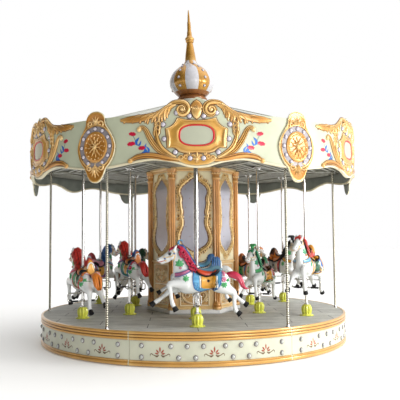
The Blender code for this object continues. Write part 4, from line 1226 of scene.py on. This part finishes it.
HOOVES = ((-1, (-282, 650), (-268, 622)), (1, (-526, 690), (-552, 670)), (-1, (486, 584), (506, 562)),
          (1, (588, 672), (610, 654)))
# Shoulder, haunch, cheek, brow and nostril: centre, radii and their points
BULGES = (((-150, 70, 985), (85, 60, 100), 20, 12), ((285, 75, 955), (110, 68, 120), 20, 12),
          ((-298, 30, 1262), (46, 34, 50), 16, 9), ((-338, 36, 1300), (28, 16, 14), 12, 7),
          ((-472, 22, 1217), (22, 14, 20), 12, 7))
EAR = ((-272, 26, 1305), (-272, 40, 1350), (-246, 42, 1400))
JAW = ((-345, 0, 1222), (-395, 0, 1196), (-432, 0, 1178), (-452, 0, 1172))
# The skin's voxels in metres, its smoothing rounds and the share of its faces that stays
HIDE_VOXEL = 0.0095
HIDE_ROUNDS = 7
HIDE_KEEP = 0.28
# The saddle's x, top and half width
SEAT = ((-30, 1070, 46), (-24, 1104, 48), (-4, 1118, 50), (30, 1120, 52), (80, 1122, 56), (130, 1134, 56),
        (160, 1158, 54), (178, 1205, 53), (204, 1236, 52), (240, 1246, 52), (272, 1235, 52), (294, 1190, 52),
        (304, 1130, 50))
SADDLE_FOOT = 1030
SADDLE_ARCH = 0.62
# Material numbers of a horse
(HIDE, MANE, TAIL, BLANKET, FLAP, SADDLE, TRIM, COLLAR, LEAF, BLACK, GILT, BRIGHT, MOUTH, ROSE, APRON,
 PAD) = range(16)
# Beads bent over the saddle: x, radius and material
SADDLE_BENDS = [(SEAT[2][0], 9, TRIM), (SEAT[11][0], 10, HIDE)]
SADDLE_BENDS += [(x, 6, TRIM) for x in (190, 210, 232, 254, 274)]
CRESCENT = ((-34, 1112), (-2, 1076), (60, 1046), (125, 1036), (200, 1052), (262, 1096), (308, 1150))
CREST = ((-248, 1370), (-205, 1352), (-158, 1290), (-114, 1222), (-78, 1162), (-42, 1118))
EYE = np.array((-335, 1284))
BLANKET_EDGE = ((-42, 1080), (-54, 1000), (-46, 910), (-16, 856), (85, 826), (180, 840), (252, 886),
                (282, 960), (290, 1060), (200, 1120), (80, 1100))
BLANKET_SWIRLS = (((-10, 925), 34, 140, 470), ((12, 872), 30, 200, -120), ((258, 935), 30, 60, -260),
                  ((226, 880), 24, -60, 260))
FLAP_EDGE = ((48, 1020), (47, 950), (53, 886), (133, 877), (216, 886), (222, 950), (220, 1020), (133, 1025))
FLAP_FLOWER = (131, 961)
# Sprays of leaves on the flank: root, reach, spread, heading and number
LEAF_SPRAYS = (((-212, 1148), 80, 130, 98, 5), ((-206, 1170), 50, 140, -90, 5), ((-140, 986), 54, 170, 80, 5),
               ((-140, 992), 42, 150, -100, 5), ((322, 930), 58, 170, -90, 6), ((356, 975), 44, 90, -30, 3))
BREAST_COLLAR = ((-268, 1034), (-215, 1040), (-150, 1062), (-90, 1090), (-50, 1112))
CRUPPER = ((300, 1120), (312, 1075), (320, 1020))
CRUPPER_SIDE = ((330, 1060), (368, 1045), (398, 1020))
BRIDLE = (((-405, 1262), (-398, 1230), (-380, 1196)),
          ((-396, 1235), (-350, 1252), (-305, 1262), (-276, 1296)),
          ((-300, 1330), (-276, 1300), (-272, 1250), (-292, 1205)))
BRIDLE_RINGS = ((-394, 1233), (-280, 1290))
LIPS = ((-487, 1194), (-455, 1192), (-420, 1201), (-372, 1215))
BLOSSOM_HEIGHT = 10
# The pole: radius and ends, its collars as height, radius and length, and the two hangers under the belly
POLE_RADIUS = 18
POLE_ENDS = (340, 2700)
POLE_COLLARS = ((1128, 34, 30), (800, 36, 30), (672, 34, 28))
HANGER_AT = 36
HANGER_SIZE = (13, 62)
HANGER_Z = 718
HANGER_BAR = 5.8
# The footrest loop: half width, low and high bar, corner radius and bar radius
REST_LOOP = (211, 664, 776, 35, 9)
REST_PADS = (75, 105, 135, 165)


def loft(shape, rings, rows=46, around=24):
    """A body through rings; lengths in metres keep the curve's points even along its tilt."""
    line = smooth(np.array(rings) / RING_UNITS, rows) * RING_UNITS
    turn = np.linspace(0, 2 * pi, around, endpoint=False)
    tilt = np.radians(line[:, 4:5])
    lift = line[:, 2:3] * np.cos(turn)
    shape.add(np.stack([line[:, 0:1] + np.sin(tilt) * lift, line[:, 3:4] * np.sin(turn),
                        line[:, 1:2] + np.cos(tilt) * lift], 2), capped(rows, around))


def horse_hide():
    """Body, neck, head and legs blended into one skin, as points in metres and faces."""
    shape = Shape()
    loft(shape, TORSO)
    loft(shape, HEAD, 30)
    for side, points in LEGS:
        line = smooth(points, 34)
        inset = np.interp(np.linspace(0, 1, len(line)), (0, 0.35, 1), (52, LEG_Y, LEG_Y)) * side
        tube(shape, np.stack([line[:, 0], inset, line[:, 1]], 1), line[:, 2], 0, 14, 1.0, (0, 1, 0))
    for side in (-1, 1):
        flip = np.array((1, side, 1))
        for centre, radii, around, up in BULGES:
            ball(shape, centre * flip, radii, 0, around, up)
        tube(shape, smooth(EAR, 14) * flip, [18, 27, 23, 5], 0, 12, 0.75)
    tube(shape, smooth(JAW, 14), [34, 26, 21, 12], 0, 14, 0.8, (0, 1, 0))
    ball(shape, (-262, 0, 985), (30, 70, 60), 0, 20, 12)
    core = linked("horse_core", build(shape, "horse_core", []))
    remesh = core.modifiers.new("skin", "REMESH")
    remesh.mode = "VOXEL"
    remesh.voxel_size = HIDE_VOXEL
    relax = core.modifiers.new("relax", "SMOOTH")
    relax.factor = 0.5
    relax.iterations = HIDE_ROUNDS
    core.modifiers.new("thin", "DECIMATE").ratio = HIDE_KEEP
    skin = settled(core)
    points = np.empty(len(skin.vertices) * 3)
    skin.vertices.foreach_get("co", points)
    faces = [tuple(face.vertices) for face in skin.polygons]
    bpy.data.meshes.remove(skin)
    return points.reshape(-1, 3), faces


def on_hide(tree, side):
    """Lays points given as seen from the side (x, z, height) on the skin of the horse, a tree in metres."""
    def change(points):
        found = []
        for x, z, rise in points / 1000:
            spot, normal, _, _ = tree.ray_cast(Vector((x, 0.6 * side, z)), Vector((0, -side, 0)))
            if spot is None or spot.y * side < 0:
                spot, normal, _, _ = tree.find_nearest(Vector((x, 0.004 * side, z)))
            found.append(spot + normal * rise)
        return np.array([tuple(p) for p in found]) * 1000
    return change


def patch(shape, outline, height, kind, centre=None, count=56):
    """A thin sheet that covers an outline, in many rings so that it can follow a rounded body."""
    rings = [(0, -SINK), (0, height * 0.5), (0.03, height)]
    rings += [(share, height) for share in (0.12, 0.24, 0.36, 0.48, 0.6, 0.72, 0.84, 0.96)]
    plate(shape, smooth(outline, count, True), rings, kind, centre)


def blossom(shape, centre, reach, petals, heart):
    """A carved flower with six petals."""
    high = BLOSSOM_HEIGHT
    for c, s in spokes(6):
        petal = (centre[0] + reach * 0.6 * c, centre[1] + reach * 0.6 * s, high * 0.6)
        ball(shape, petal, (reach * 0.45, reach * 0.45, high * 0.9), petals, 10, 6)
    ball(shape, (*centre, high), (reach * 0.34, reach * 0.34, high * 0.8), heart, 10, 6)


def seat_cloths(shape):
    """Blanket, flap, and the padded crescent under the saddle."""
    patch(shape, BLANKET_EDGE, 6, BLANKET, (120, 980))
    stroke(shape, BLANKET_EDGE[:9], 70, 13, 10, TRIM)
    for spot, reach, first, last in BLANKET_SWIRLS:
        sweep(shape, spiral(spot, reach, 6, first, last, 24), [4, 20, 14, 4], 10, TRIM, RIDGE)
    for x in (30, 236):
        stroke(shape, ((x, 1020), (x + 2, 950), (x + 6, 880)), 16, 17, 11, HIDE, FLAT)
    patch(shape, FLAP_EDGE, 14, FLAP, (133, 940))
    stroke(shape, FLAP_EDGE[:6], 40, 8, 17, GILT)
    u, v = FLAP_FLOWER
    ball(shape, (u, v, 15), (15, 14, 9), BLACK, 12, 7)
    for c, s in spokes(5):
        ball(shape, (u + 14 * c, v + 13 * s, 13), (6, 6, 6), BLACK, 8, 5)
    crescent = smooth(CRESCENT, 50)
    sweep(shape, crescent, [20, 46, 60, 64, 60, 50, 20], [32, 34, 36, 48, 50], APRON)
    sweep(shape, crescent - (0, 29), [6, 13, 14, 13, 8], [30, 32, 34, 44, 46], BLACK)


def harness(shape):
    """Breast collar, leaf sprays, crupper and bridle."""
    collar = smooth(BREAST_COLLAR, 34)
    sweep(shape, collar, [50, 52, 44, 34, 26], 10, COLLAR, GROOVED)
    for way in (-1, 1):
        sweep(shape, collar + (6 * way, 24 * way), 7, 12, TRIM)
    for root, reach, spread, heading, count in LEAF_SPRAYS:
        fan(shape, root, reach, spread, heading, count, reach * 0.54, 9, LEAF)
    stroke(shape, CRUPPER, 16, [40, 34, 28], 10, ROSE, GROOVED)
    stroke(shape, CRUPPER_SIDE, 16, 18, 8, COLLAR, FLAT)
    blossom(shape, (318, 978), 30, ROSE, COLLAR)
    blossom(shape, (-205, 1118), 15, ROSE, GILT)
    for points in BRIDLE:
        stroke(shape, points, 16, 11, 6, GILT, FLAT)
    for spot in BRIDLE_RINGS:
        ball(shape, (*spot, 6), (11, 11, 7), TRIM, 10, 6)


def face_paint(shape):
    """Eye with its lashes and a painted glint, nostril and lips."""
    u, v = EYE
    patch(shape, oval(EYE, 23, 17, 20), 3.5, HIDE, None, 20)
    ball(shape, (u, v, 3), (16.5, 14.5, 7), BLACK, 12, 7)
    # A white dot on the pupil: a painted glint
    ball(shape, (u - 4, v + 5, 9), (3.6, 3.6, 2), HIDE, 8, 5)
    for heading in (35, 62, 90, 118, 146):
        way = np.array((cos(radians(heading)), sin(radians(heading))))
        stroke(shape, (EYE + way * 14, EYE + way * 22, EYE + way * 30), 6, [6, 5, 2], 6, BLACK)
    ball(shape, (-476, 1221, 1), (10, 6.5, 3), BLACK, 10, 6)
    stroke(shape, LIPS, 16, [4, 11, 9, 4], 3, MOUTH)


def lock(shape, points, thick, kind, flat=0.8):
    """One carved lock of hair with a pointed end."""
    tube(shape, smooth(points, 18), [thick * 0.6, thick, thick * 1.1, thick * 0.8, 2], kind, 8, flat)


def hair(shape):
    """Carved locks of the mane, forelock and tail."""
    crest = smooth(CREST, 60)
    for side in (-1, 1):
        for index in range(16):
            x, z = crest[int(2 + index * 3.7)]
            droop = 85 + 30 * sin(index * 2.1)
            reach = 30 + 12 * cos(index * 1.7)
            lock(shape, ((x - 12, 6 * side, z - 4), (x + 8, 28 * side, z + 8),
                         (x + reach, 56 * side, z - droop * 0.35),
                         (x + reach * 0.4, 72 * side, z - droop * 0.75),
                         (x + reach * 1.5, 80 * side, z - droop * 1.08),
                         (x + reach * 2, 74 * side, z - droop * 0.80)), 13.5 + 3 * sin(index * 1.3), MANE)
    for index in range(12):
        x, z = crest[int(2 + index * 5)]
        way = (-1) ** index
        lock(shape, ((x - 16, 0, z - 10), (x + 2, 4 * way, z + 14), (x + 30, 14 * way, z + 6),
                     (x + 56, 20 * way, z - 30)), 16, MANE)
    for y in (-24, -12, 0, 12, 24):
        lock(shape, ((-245, y * 0.6, 1356), (-278, y, 1372 - abs(y)), (-318, y * 1.3, 1352),
                     (-348, y * 1.5, 1316)), 15.5, MANE)
    for index, (c, s) in enumerate(spokes(10)):
        y, lift, wave = 26 * c, 24 * s, 14 * sin(index * 2.3)
        strand = ((362, y * 0.4, 1026 + lift * 0.5), (420, y, 1030 + lift), (484, y * 1.3, 1012 + lift * 1.2),
                  (532 + wave, y * 1.5, 965 + lift), (556 + wave, y * 1.5, 905 + lift),
                  (592, y, 862 + lift * 0.5), (626 + wave, y * 0.5, 858))
        tube(shape, smooth(strand, 28), [14, 21, 24, 23, 18, 10, 2], TAIL, 10, 0.85)


def saddle(shape):
    """Seat with a patterned pad and a high back, bound with beads at both ends and ribbed on the back."""
    turn = np.radians(np.linspace(-90, 90, 15))
    pad = [(x, z + 4, half * 0.62) for x, z, half in SEAT[3:8]]
    for points, low, sag, bend, kind in ((smooth(SEAT, 34), None, 10, SADDLE_ARCH, SADDLE),
                                         (smooth(pad, 16), 20, 0, 0.5, PAD)):
        rings = []
        for x, top, half in points:
            base = SADDLE_FOOT if low is None else top - low
            dip = sag * np.exp(-((x - 120) / 60) ** 2) * np.cos(turn) ** 2
            rings.append(np.stack([np.full(len(turn), x), half * np.sin(turn),
                                   base + (top - base) * np.cos(turn) ** bend - dip], 1))
        shape.add(np.vstack(rings), capped(len(points), len(turn)), kind)
    for index in range(12):
        x = 40 + 12 * index
        top = float(np.interp(x, *np.transpose(SEAT)[:2]))
        ball(shape, (x, 26 * (-1) ** index, top), (10, 12, 7), BLACK, 8, 5)
    seat = smooth(SEAT, 60)
    arch = np.radians(np.linspace(-70, 70, 17))
    for x, thick, kind in SADDLE_BENDS:
        top, half = [float(np.interp(x, seat[:, 0], seat[:, column])) for column in (1, 2)]
        rise = SADDLE_FOOT + (top + 2 - SADDLE_FOOT) * np.cos(arch) ** SADDLE_ARCH
        path = np.stack([np.full(len(arch), x), (half + 2) * np.sin(arch), rise], 1)
        tube(shape, path, thick, kind, 8, 1.0, (1, 0, 0))


def footrest(shape):
    half, low, high, bend, bar = REST_LOOP
    turns = ((half - bend, low + bend, -90), (half - bend, high - bend, 0), (-half + bend, high - bend, 90),
             (-half + bend, low + bend, 180))
    loop = [(0, y + bend * cos(radians(a + t)), z + bend * sin(radians(a + t))) for y, z, a in turns
            for t in range(0, 91, 15)]
    tube(shape, loop + [loop[0]], bar, BRIGHT, 10, 1.0, (1, 0, 0))
    for side in (-1, 1):
        runs = [(REST_PADS[0], REST_PADS[-1], 12.5)] + [(y - 4, y + 4, 14.5) for y in REST_PADS]
        for start, end, thick in runs:
            tube(shape, [(0, start * side, low), (0, end * side, low)], thick, BLACK, 12, 1.0, (1, 0, 0))


def horse_pole(shape):
    """Chromed pole with its collars and the two narrow hangers under the belly."""
    low, high = POLE_ENDS
    lathe(shape, [(4, low), (POLE_RADIUS, low), (POLE_RADIUS, high), (4, high)], 24, BRIGHT)
    foot = POLE_RADIUS - 1
    for z, r, long in POLE_COLLARS:
        lathe(shape, ((foot, z - long / 2), (r * 0.75, z - long / 2), (r, z - long / 4), (r, z + long / 4),
                      (r * 0.75, z + long / 2), (foot, z + long / 2)), 24, BRIGHT)
    turn = np.radians(np.arange(0, 361, 20))
    wide, high = HANGER_SIZE
    for side in (-1, 1):
        loop = np.stack([HANGER_AT * side + wide * np.cos(turn), np.zeros(len(turn)),
                         HANGER_Z + high * np.sign(np.sin(turn)) * np.abs(np.sin(turn)) ** 0.5], 1)
        tube(shape, loop, HANGER_BAR, BRIGHT, 8, 1.0, (0, 1, 0))


def plume(shape):
    """Curled feathers that stand on a horse's head."""
    for index in range(7):
        side = (index - 3) / 3
        lock(shape, ((-248, 8 * side, 1350), (-262 + 12 * abs(side), 16 * side, 1402),
                     (-246, 28 * side, 1446), (-205, 36 * side, 1452), (-178, 38 * side, 1420)), 17, 0, 0.7)


def enamel(name, colour):
    # Hollows darken to 0.22 of the enamel's colour: painted shade
    return paint(name, colour, 0.30, 0.0, tuple(c * 0.22 for c in colour), 0.028, 0.12, 60, 0.04, 0.4)


# Hollows of the white hide darken to a bluish grey: painted shade
HORSE_WHITE = paint("horse_white", (0.78, 0.80, 0.79), 0.2, 0.0, (0.30, 0.33, 0.36), 0.04, 0.04, 50, 0.03,
                    0.7)
COLOURS = {
    "crimson": (0.50, 0.010, 0.055), "red": (0.55, 0.03, 0.02), "scarlet": (0.72, 0.075, 0.022),
    "orange": (0.78, 0.22, 0.02), "amber": (0.76, 0.36, 0.03), "blue": (0.02, 0.13, 0.42),
    "sky": (0.12, 0.40, 0.66), "teal": (0.10, 0.24, 0.32), "green": (0.03, 0.30, 0.12),
    "bottle": (0.02, 0.12, 0.06), "leaf": (0.07, 0.42, 0.14), "pink": (0.72, 0.22, 0.34),
    "mauve": (0.50, 0.14, 0.28), "brown": (0.20, 0.07, 0.02), "grey": (0.34, 0.33, 0.31),
    "mouth": (0.45, 0.05, 0.05), "violet": (0.20, 0.10, 0.40)}
ENAMELS = {name: enamel(f"enamel_{name}", colour) for name, colour in COLOURS.items()}
BLACK_ENAMEL = paint("enamel_black", (0.012, 0.012, 0.013), 0.4, spread=0.2)
BLACK_ENAMEL.node_tree.nodes["Principled BSDF"].inputs["Specular IOR Level"].default_value = 0.2
ENAMELS.update({"white": HORSE_WHITE, "gilt": GOLD, "chrome": CHROME, "black": BLACK_ENAMEL})
# Mane, tail, blanket, flap, saddle, trim, collar, leaves, roses, apron and pad
OUTER_COLOURS = ("crimson crimson sky amber teal blue mauve leaf pink scarlet grey",
                 "red brown blue bottle red amber sky green orange amber brown",
                 "black black red grey orange black amber leaf red orange brown",
                 "brown orange green amber crimson gilt red leaf sky crimson black",
                 "blue blue violet amber pink red sky green red pink grey",
                 "red orange green bottle amber red pink leaf orange orange brown")
INNER_COLOURS = ("blue white amber red teal blue crimson leaf orange sky grey",
                 "green orange red amber brown green leaf green pink brown black",
                 "orange brown blue green brown orange gilt leaf red orange black",
                 "crimson crimson sky amber red gilt blue green pink red brown",
                 "bottle brown orange red green amber red leaf sky green black",
                 "red red green amber orange blue pink leaf crimson orange brown")
# The same on every horse, between its leaves and its roses
SHARED_COLOURS = ["black", "gilt", "chrome", "mouth"]
PLUMES = {"horse_inner_1": "sky", "horse_inner_2": "leaf", "horse_outer_3": "black"}
HORSE_KEEP = 0.53


def whole_horse():
    """One carved horse with all its trappings, without its pole."""
    points, faces = horse_hide()
    tree = BVHTree.FromPolygons(points.tolist(), faces)
    horse, flank = Shape(), Shape()
    horse.add(points * 1000, faces, HIDE)
    seat_cloths(flank)
    harness(flank)
    face_paint(flank)
    for side in (-1, 1):
        horse.include(flank, on_hide(tree, side))
    for piece in (hair, saddle, footrest):
        piece(horse)
    for side, root, tip in HOOVES:
        hoof = np.array(root) + np.outer((-0.15, 0.2, 1.0, 1.7, 1.8), np.subtract(tip, root))
        tube(horse, np.insert(hoof, 1, LEG_Y * side, 1), [27, 30, 34, 37, 33], BLACK, 14, 0.92, (0, 1, 0))
    return horse


def make_horses():
    horse, feathers = whole_horse(), Shape()
    plume(feathers)
    rings = (("outer", OUTER_RING, OUTER_LIFTS, OUTER_COLOURS, 1.0),
             ("inner", INNER_RING, INNER_LIFTS, INNER_COLOURS, INNER_SCALE))
    for ring, radius, lifts, colours, scale in rings:
        def sized(points, k=scale):
            return points * k + (0, 0, HORSE_MIDDLE * (1 - k))

        rider = Shape()
        rider.include(horse, sized)
        horse_pole(rider)
        mesh = build(rider, f"horse_{ring}", [HORSE_WHITE] * (PAD + 1), None, 50, HORSE_KEEP)
        for index in range(SIDES):
            body = f"horse_{ring}_{index + 1}"
            skin = colours[index].split()
            skin[8:8] = SHARED_COLOURS
            own = mesh if index == 0 else mesh.copy()
            for slot, shade in enumerate(["white", *skin]):
                own.materials[slot] = ENAMELS[shade]
            spot = turned(60 * index, radius, lifts[index])
            place(own, f"galloper_{ring}_{index + 1}", [body], spot, body)
            if body in PLUMES:
                feather_mesh = build(feathers, f"plume_{body}", [ENAMELS[PLUMES[body]]], sized, 60)
                place(feather_mesh, f"plume_{body}", (), spot, body)


# Camera and light, in metres

LENS = 52.41
CAMERA_SPOT = (-0.2215, -8.977, 1.485)
CAMERA_TURN = (0.0366, 0.0645, -0.0074)
# Bright walls of the room: where each starts and ends, and its dimmest and brightest strength
SIDE_WALL = (-0.4, 0.9, 0.03, 1.25)
REAR_WALL = (0.3, 0.8, 0.0, 1.02)
OVERHEAD = (0.45, 1.0, 0.0, 2.1)
OVERHEAD_WAY = (0.46, 0.0, 0.89)
WARM_SIDE = (1.0, 0.80, 0.60, 1)
WHITE_LIGHT = (1, 1, 1, 1)
FLOOR_GLOW = 0.10
# Lamps: place, target, power and colour
LAMP_SIZE = 3.0
LAMPS = {"key": ((8.5, -4.2, 2.8), (0, 0, 1.0), 490, (1.0, 0.99, 0.97)),
         "front": ((4.6, -8.8, 2.6), (0, 0, 0.8), 180, (1.0, 0.98, 0.96))}


def make_camera():
    data = bpy.data.cameras.new("camera")
    data.lens = LENS
    data.sensor_width = 36
    data.clip_end = 200
    yaw, pitch, roll = CAMERA_TURN
    ahead = Vector((sin(yaw) * cos(pitch), cos(yaw) * cos(pitch), sin(pitch)))
    right = Vector((cos(yaw), -sin(yaw), 0))
    up = right.cross(ahead)
    across = cos(roll) * right + sin(roll) * up
    upward = -sin(roll) * right + cos(roll) * up
    camera = linked("camera", data)
    turn = Matrix((across, upward, -ahead)).transposed().to_4x4()
    camera.matrix_world = Matrix.Translation(CAMERA_SPOT) @ turn
    bpy.context.scene.camera = camera


def make_room():
    """A white room that is brightest behind, overhead and to the right; the camera sees it plain white."""
    world = bpy.data.worlds.new("studio")
    bpy.context.scene.world = world
    world.use_nodes = True
    tree = world.node_tree
    shader = tree.nodes["Background"]
    way = node(tree, "ShaderNodeTexCoord").outputs["Generated"]
    split = node(tree, "ShaderNodeSeparateXYZ")
    tree.links.new(way, split.inputs["Vector"])
    tone = mix_colour(tree, "MIX", ramp(tree, split.outputs["X"], -0.9, -0.4), WARM_SIDE, WHITE_LIGHT)
    tree.links.new(tone, shader.inputs["Color"])
    above = node(tree, "ShaderNodeVectorMath", operation="DOT_PRODUCT")
    tree.links.new(way, above.inputs[0])
    above.inputs[1].default_value = OVERHEAD_WAY
    strength = None
    for source, wall in ((split.outputs["X"], SIDE_WALL), (split.outputs["Y"], REAR_WALL),
                         (above.outputs["Value"], OVERHEAD)):
        bright = ramp(tree, source, *wall)
        if strength is not None:
            brightest = node(tree, "ShaderNodeMath", operation="MAXIMUM")
            tree.links.new(strength, brightest.inputs[0])
            tree.links.new(bright, brightest.inputs[1])
            bright = brightest.outputs[0]
        strength = bright
    tree.links.new(strength, shader.inputs["Strength"])
    backdrop = node(tree, "ShaderNodeBackground", Color=WHITE_LIGHT, Strength=1.0)
    seen = node(tree, "ShaderNodeLightPath")
    either = node(tree, "ShaderNodeMixShader")
    for source, target in ((seen.outputs["Is Camera Ray"], either.inputs[0]),
                           (shader.outputs[0], either.inputs[1]), (backdrop.outputs[0], either.inputs[2]),
                           (either.outputs[0], tree.nodes["World Output"].inputs["Surface"])):
        tree.links.new(source, target)


def make_studio():
    """The room, a pale floor with a faint glow, and two soft lamps."""
    make_room()
    bpy.context.scene.view_settings.view_transform = "Standard"
    shape = Shape()
    shape.add(slab(-60000, 60000, -60000, 60000, -50, 0), BOX_FACES)
    floor_mat = paint("studio_floor", (0.95, 0.95, 0.94), 0.7, spread=0.01, bump=0.0)
    shader = floor_mat.node_tree.nodes["Principled BSDF"]
    shader.inputs["Emission Color"].default_value = WHITE_LIGHT
    shader.inputs["Emission Strength"].default_value = FLOOR_GLOW
    linked("studio_floor", build(shape, "studio_floor", [floor_mat]))
    for name, (spot, target, power, colour) in LAMPS.items():
        data = bpy.data.lights.new(name, "AREA")
        data.shape = "DISK"
        data.size = LAMP_SIZE
        data.energy = power
        data.color = colour
        lamp = linked(name, data)
        lamp.location = spot
        lamp.rotation_euler = (Vector(target) - Vector(spot)).to_track_quat("-Z", "Y").to_euler()


make_camera()
make_studio()
make_canopy()
make_roof()
make_ceiling()
for carried, mat in (("canopy_ceiling", GREY_GREEN), ("roof_mast", STEEL), ("base_frame", STEEL),
                     ("platform_deck", DECK)):
    repaint(carried, mat)
make_dome()
make_skirt()
make_guides()
make_rim_poles()
make_housing()
make_horses()
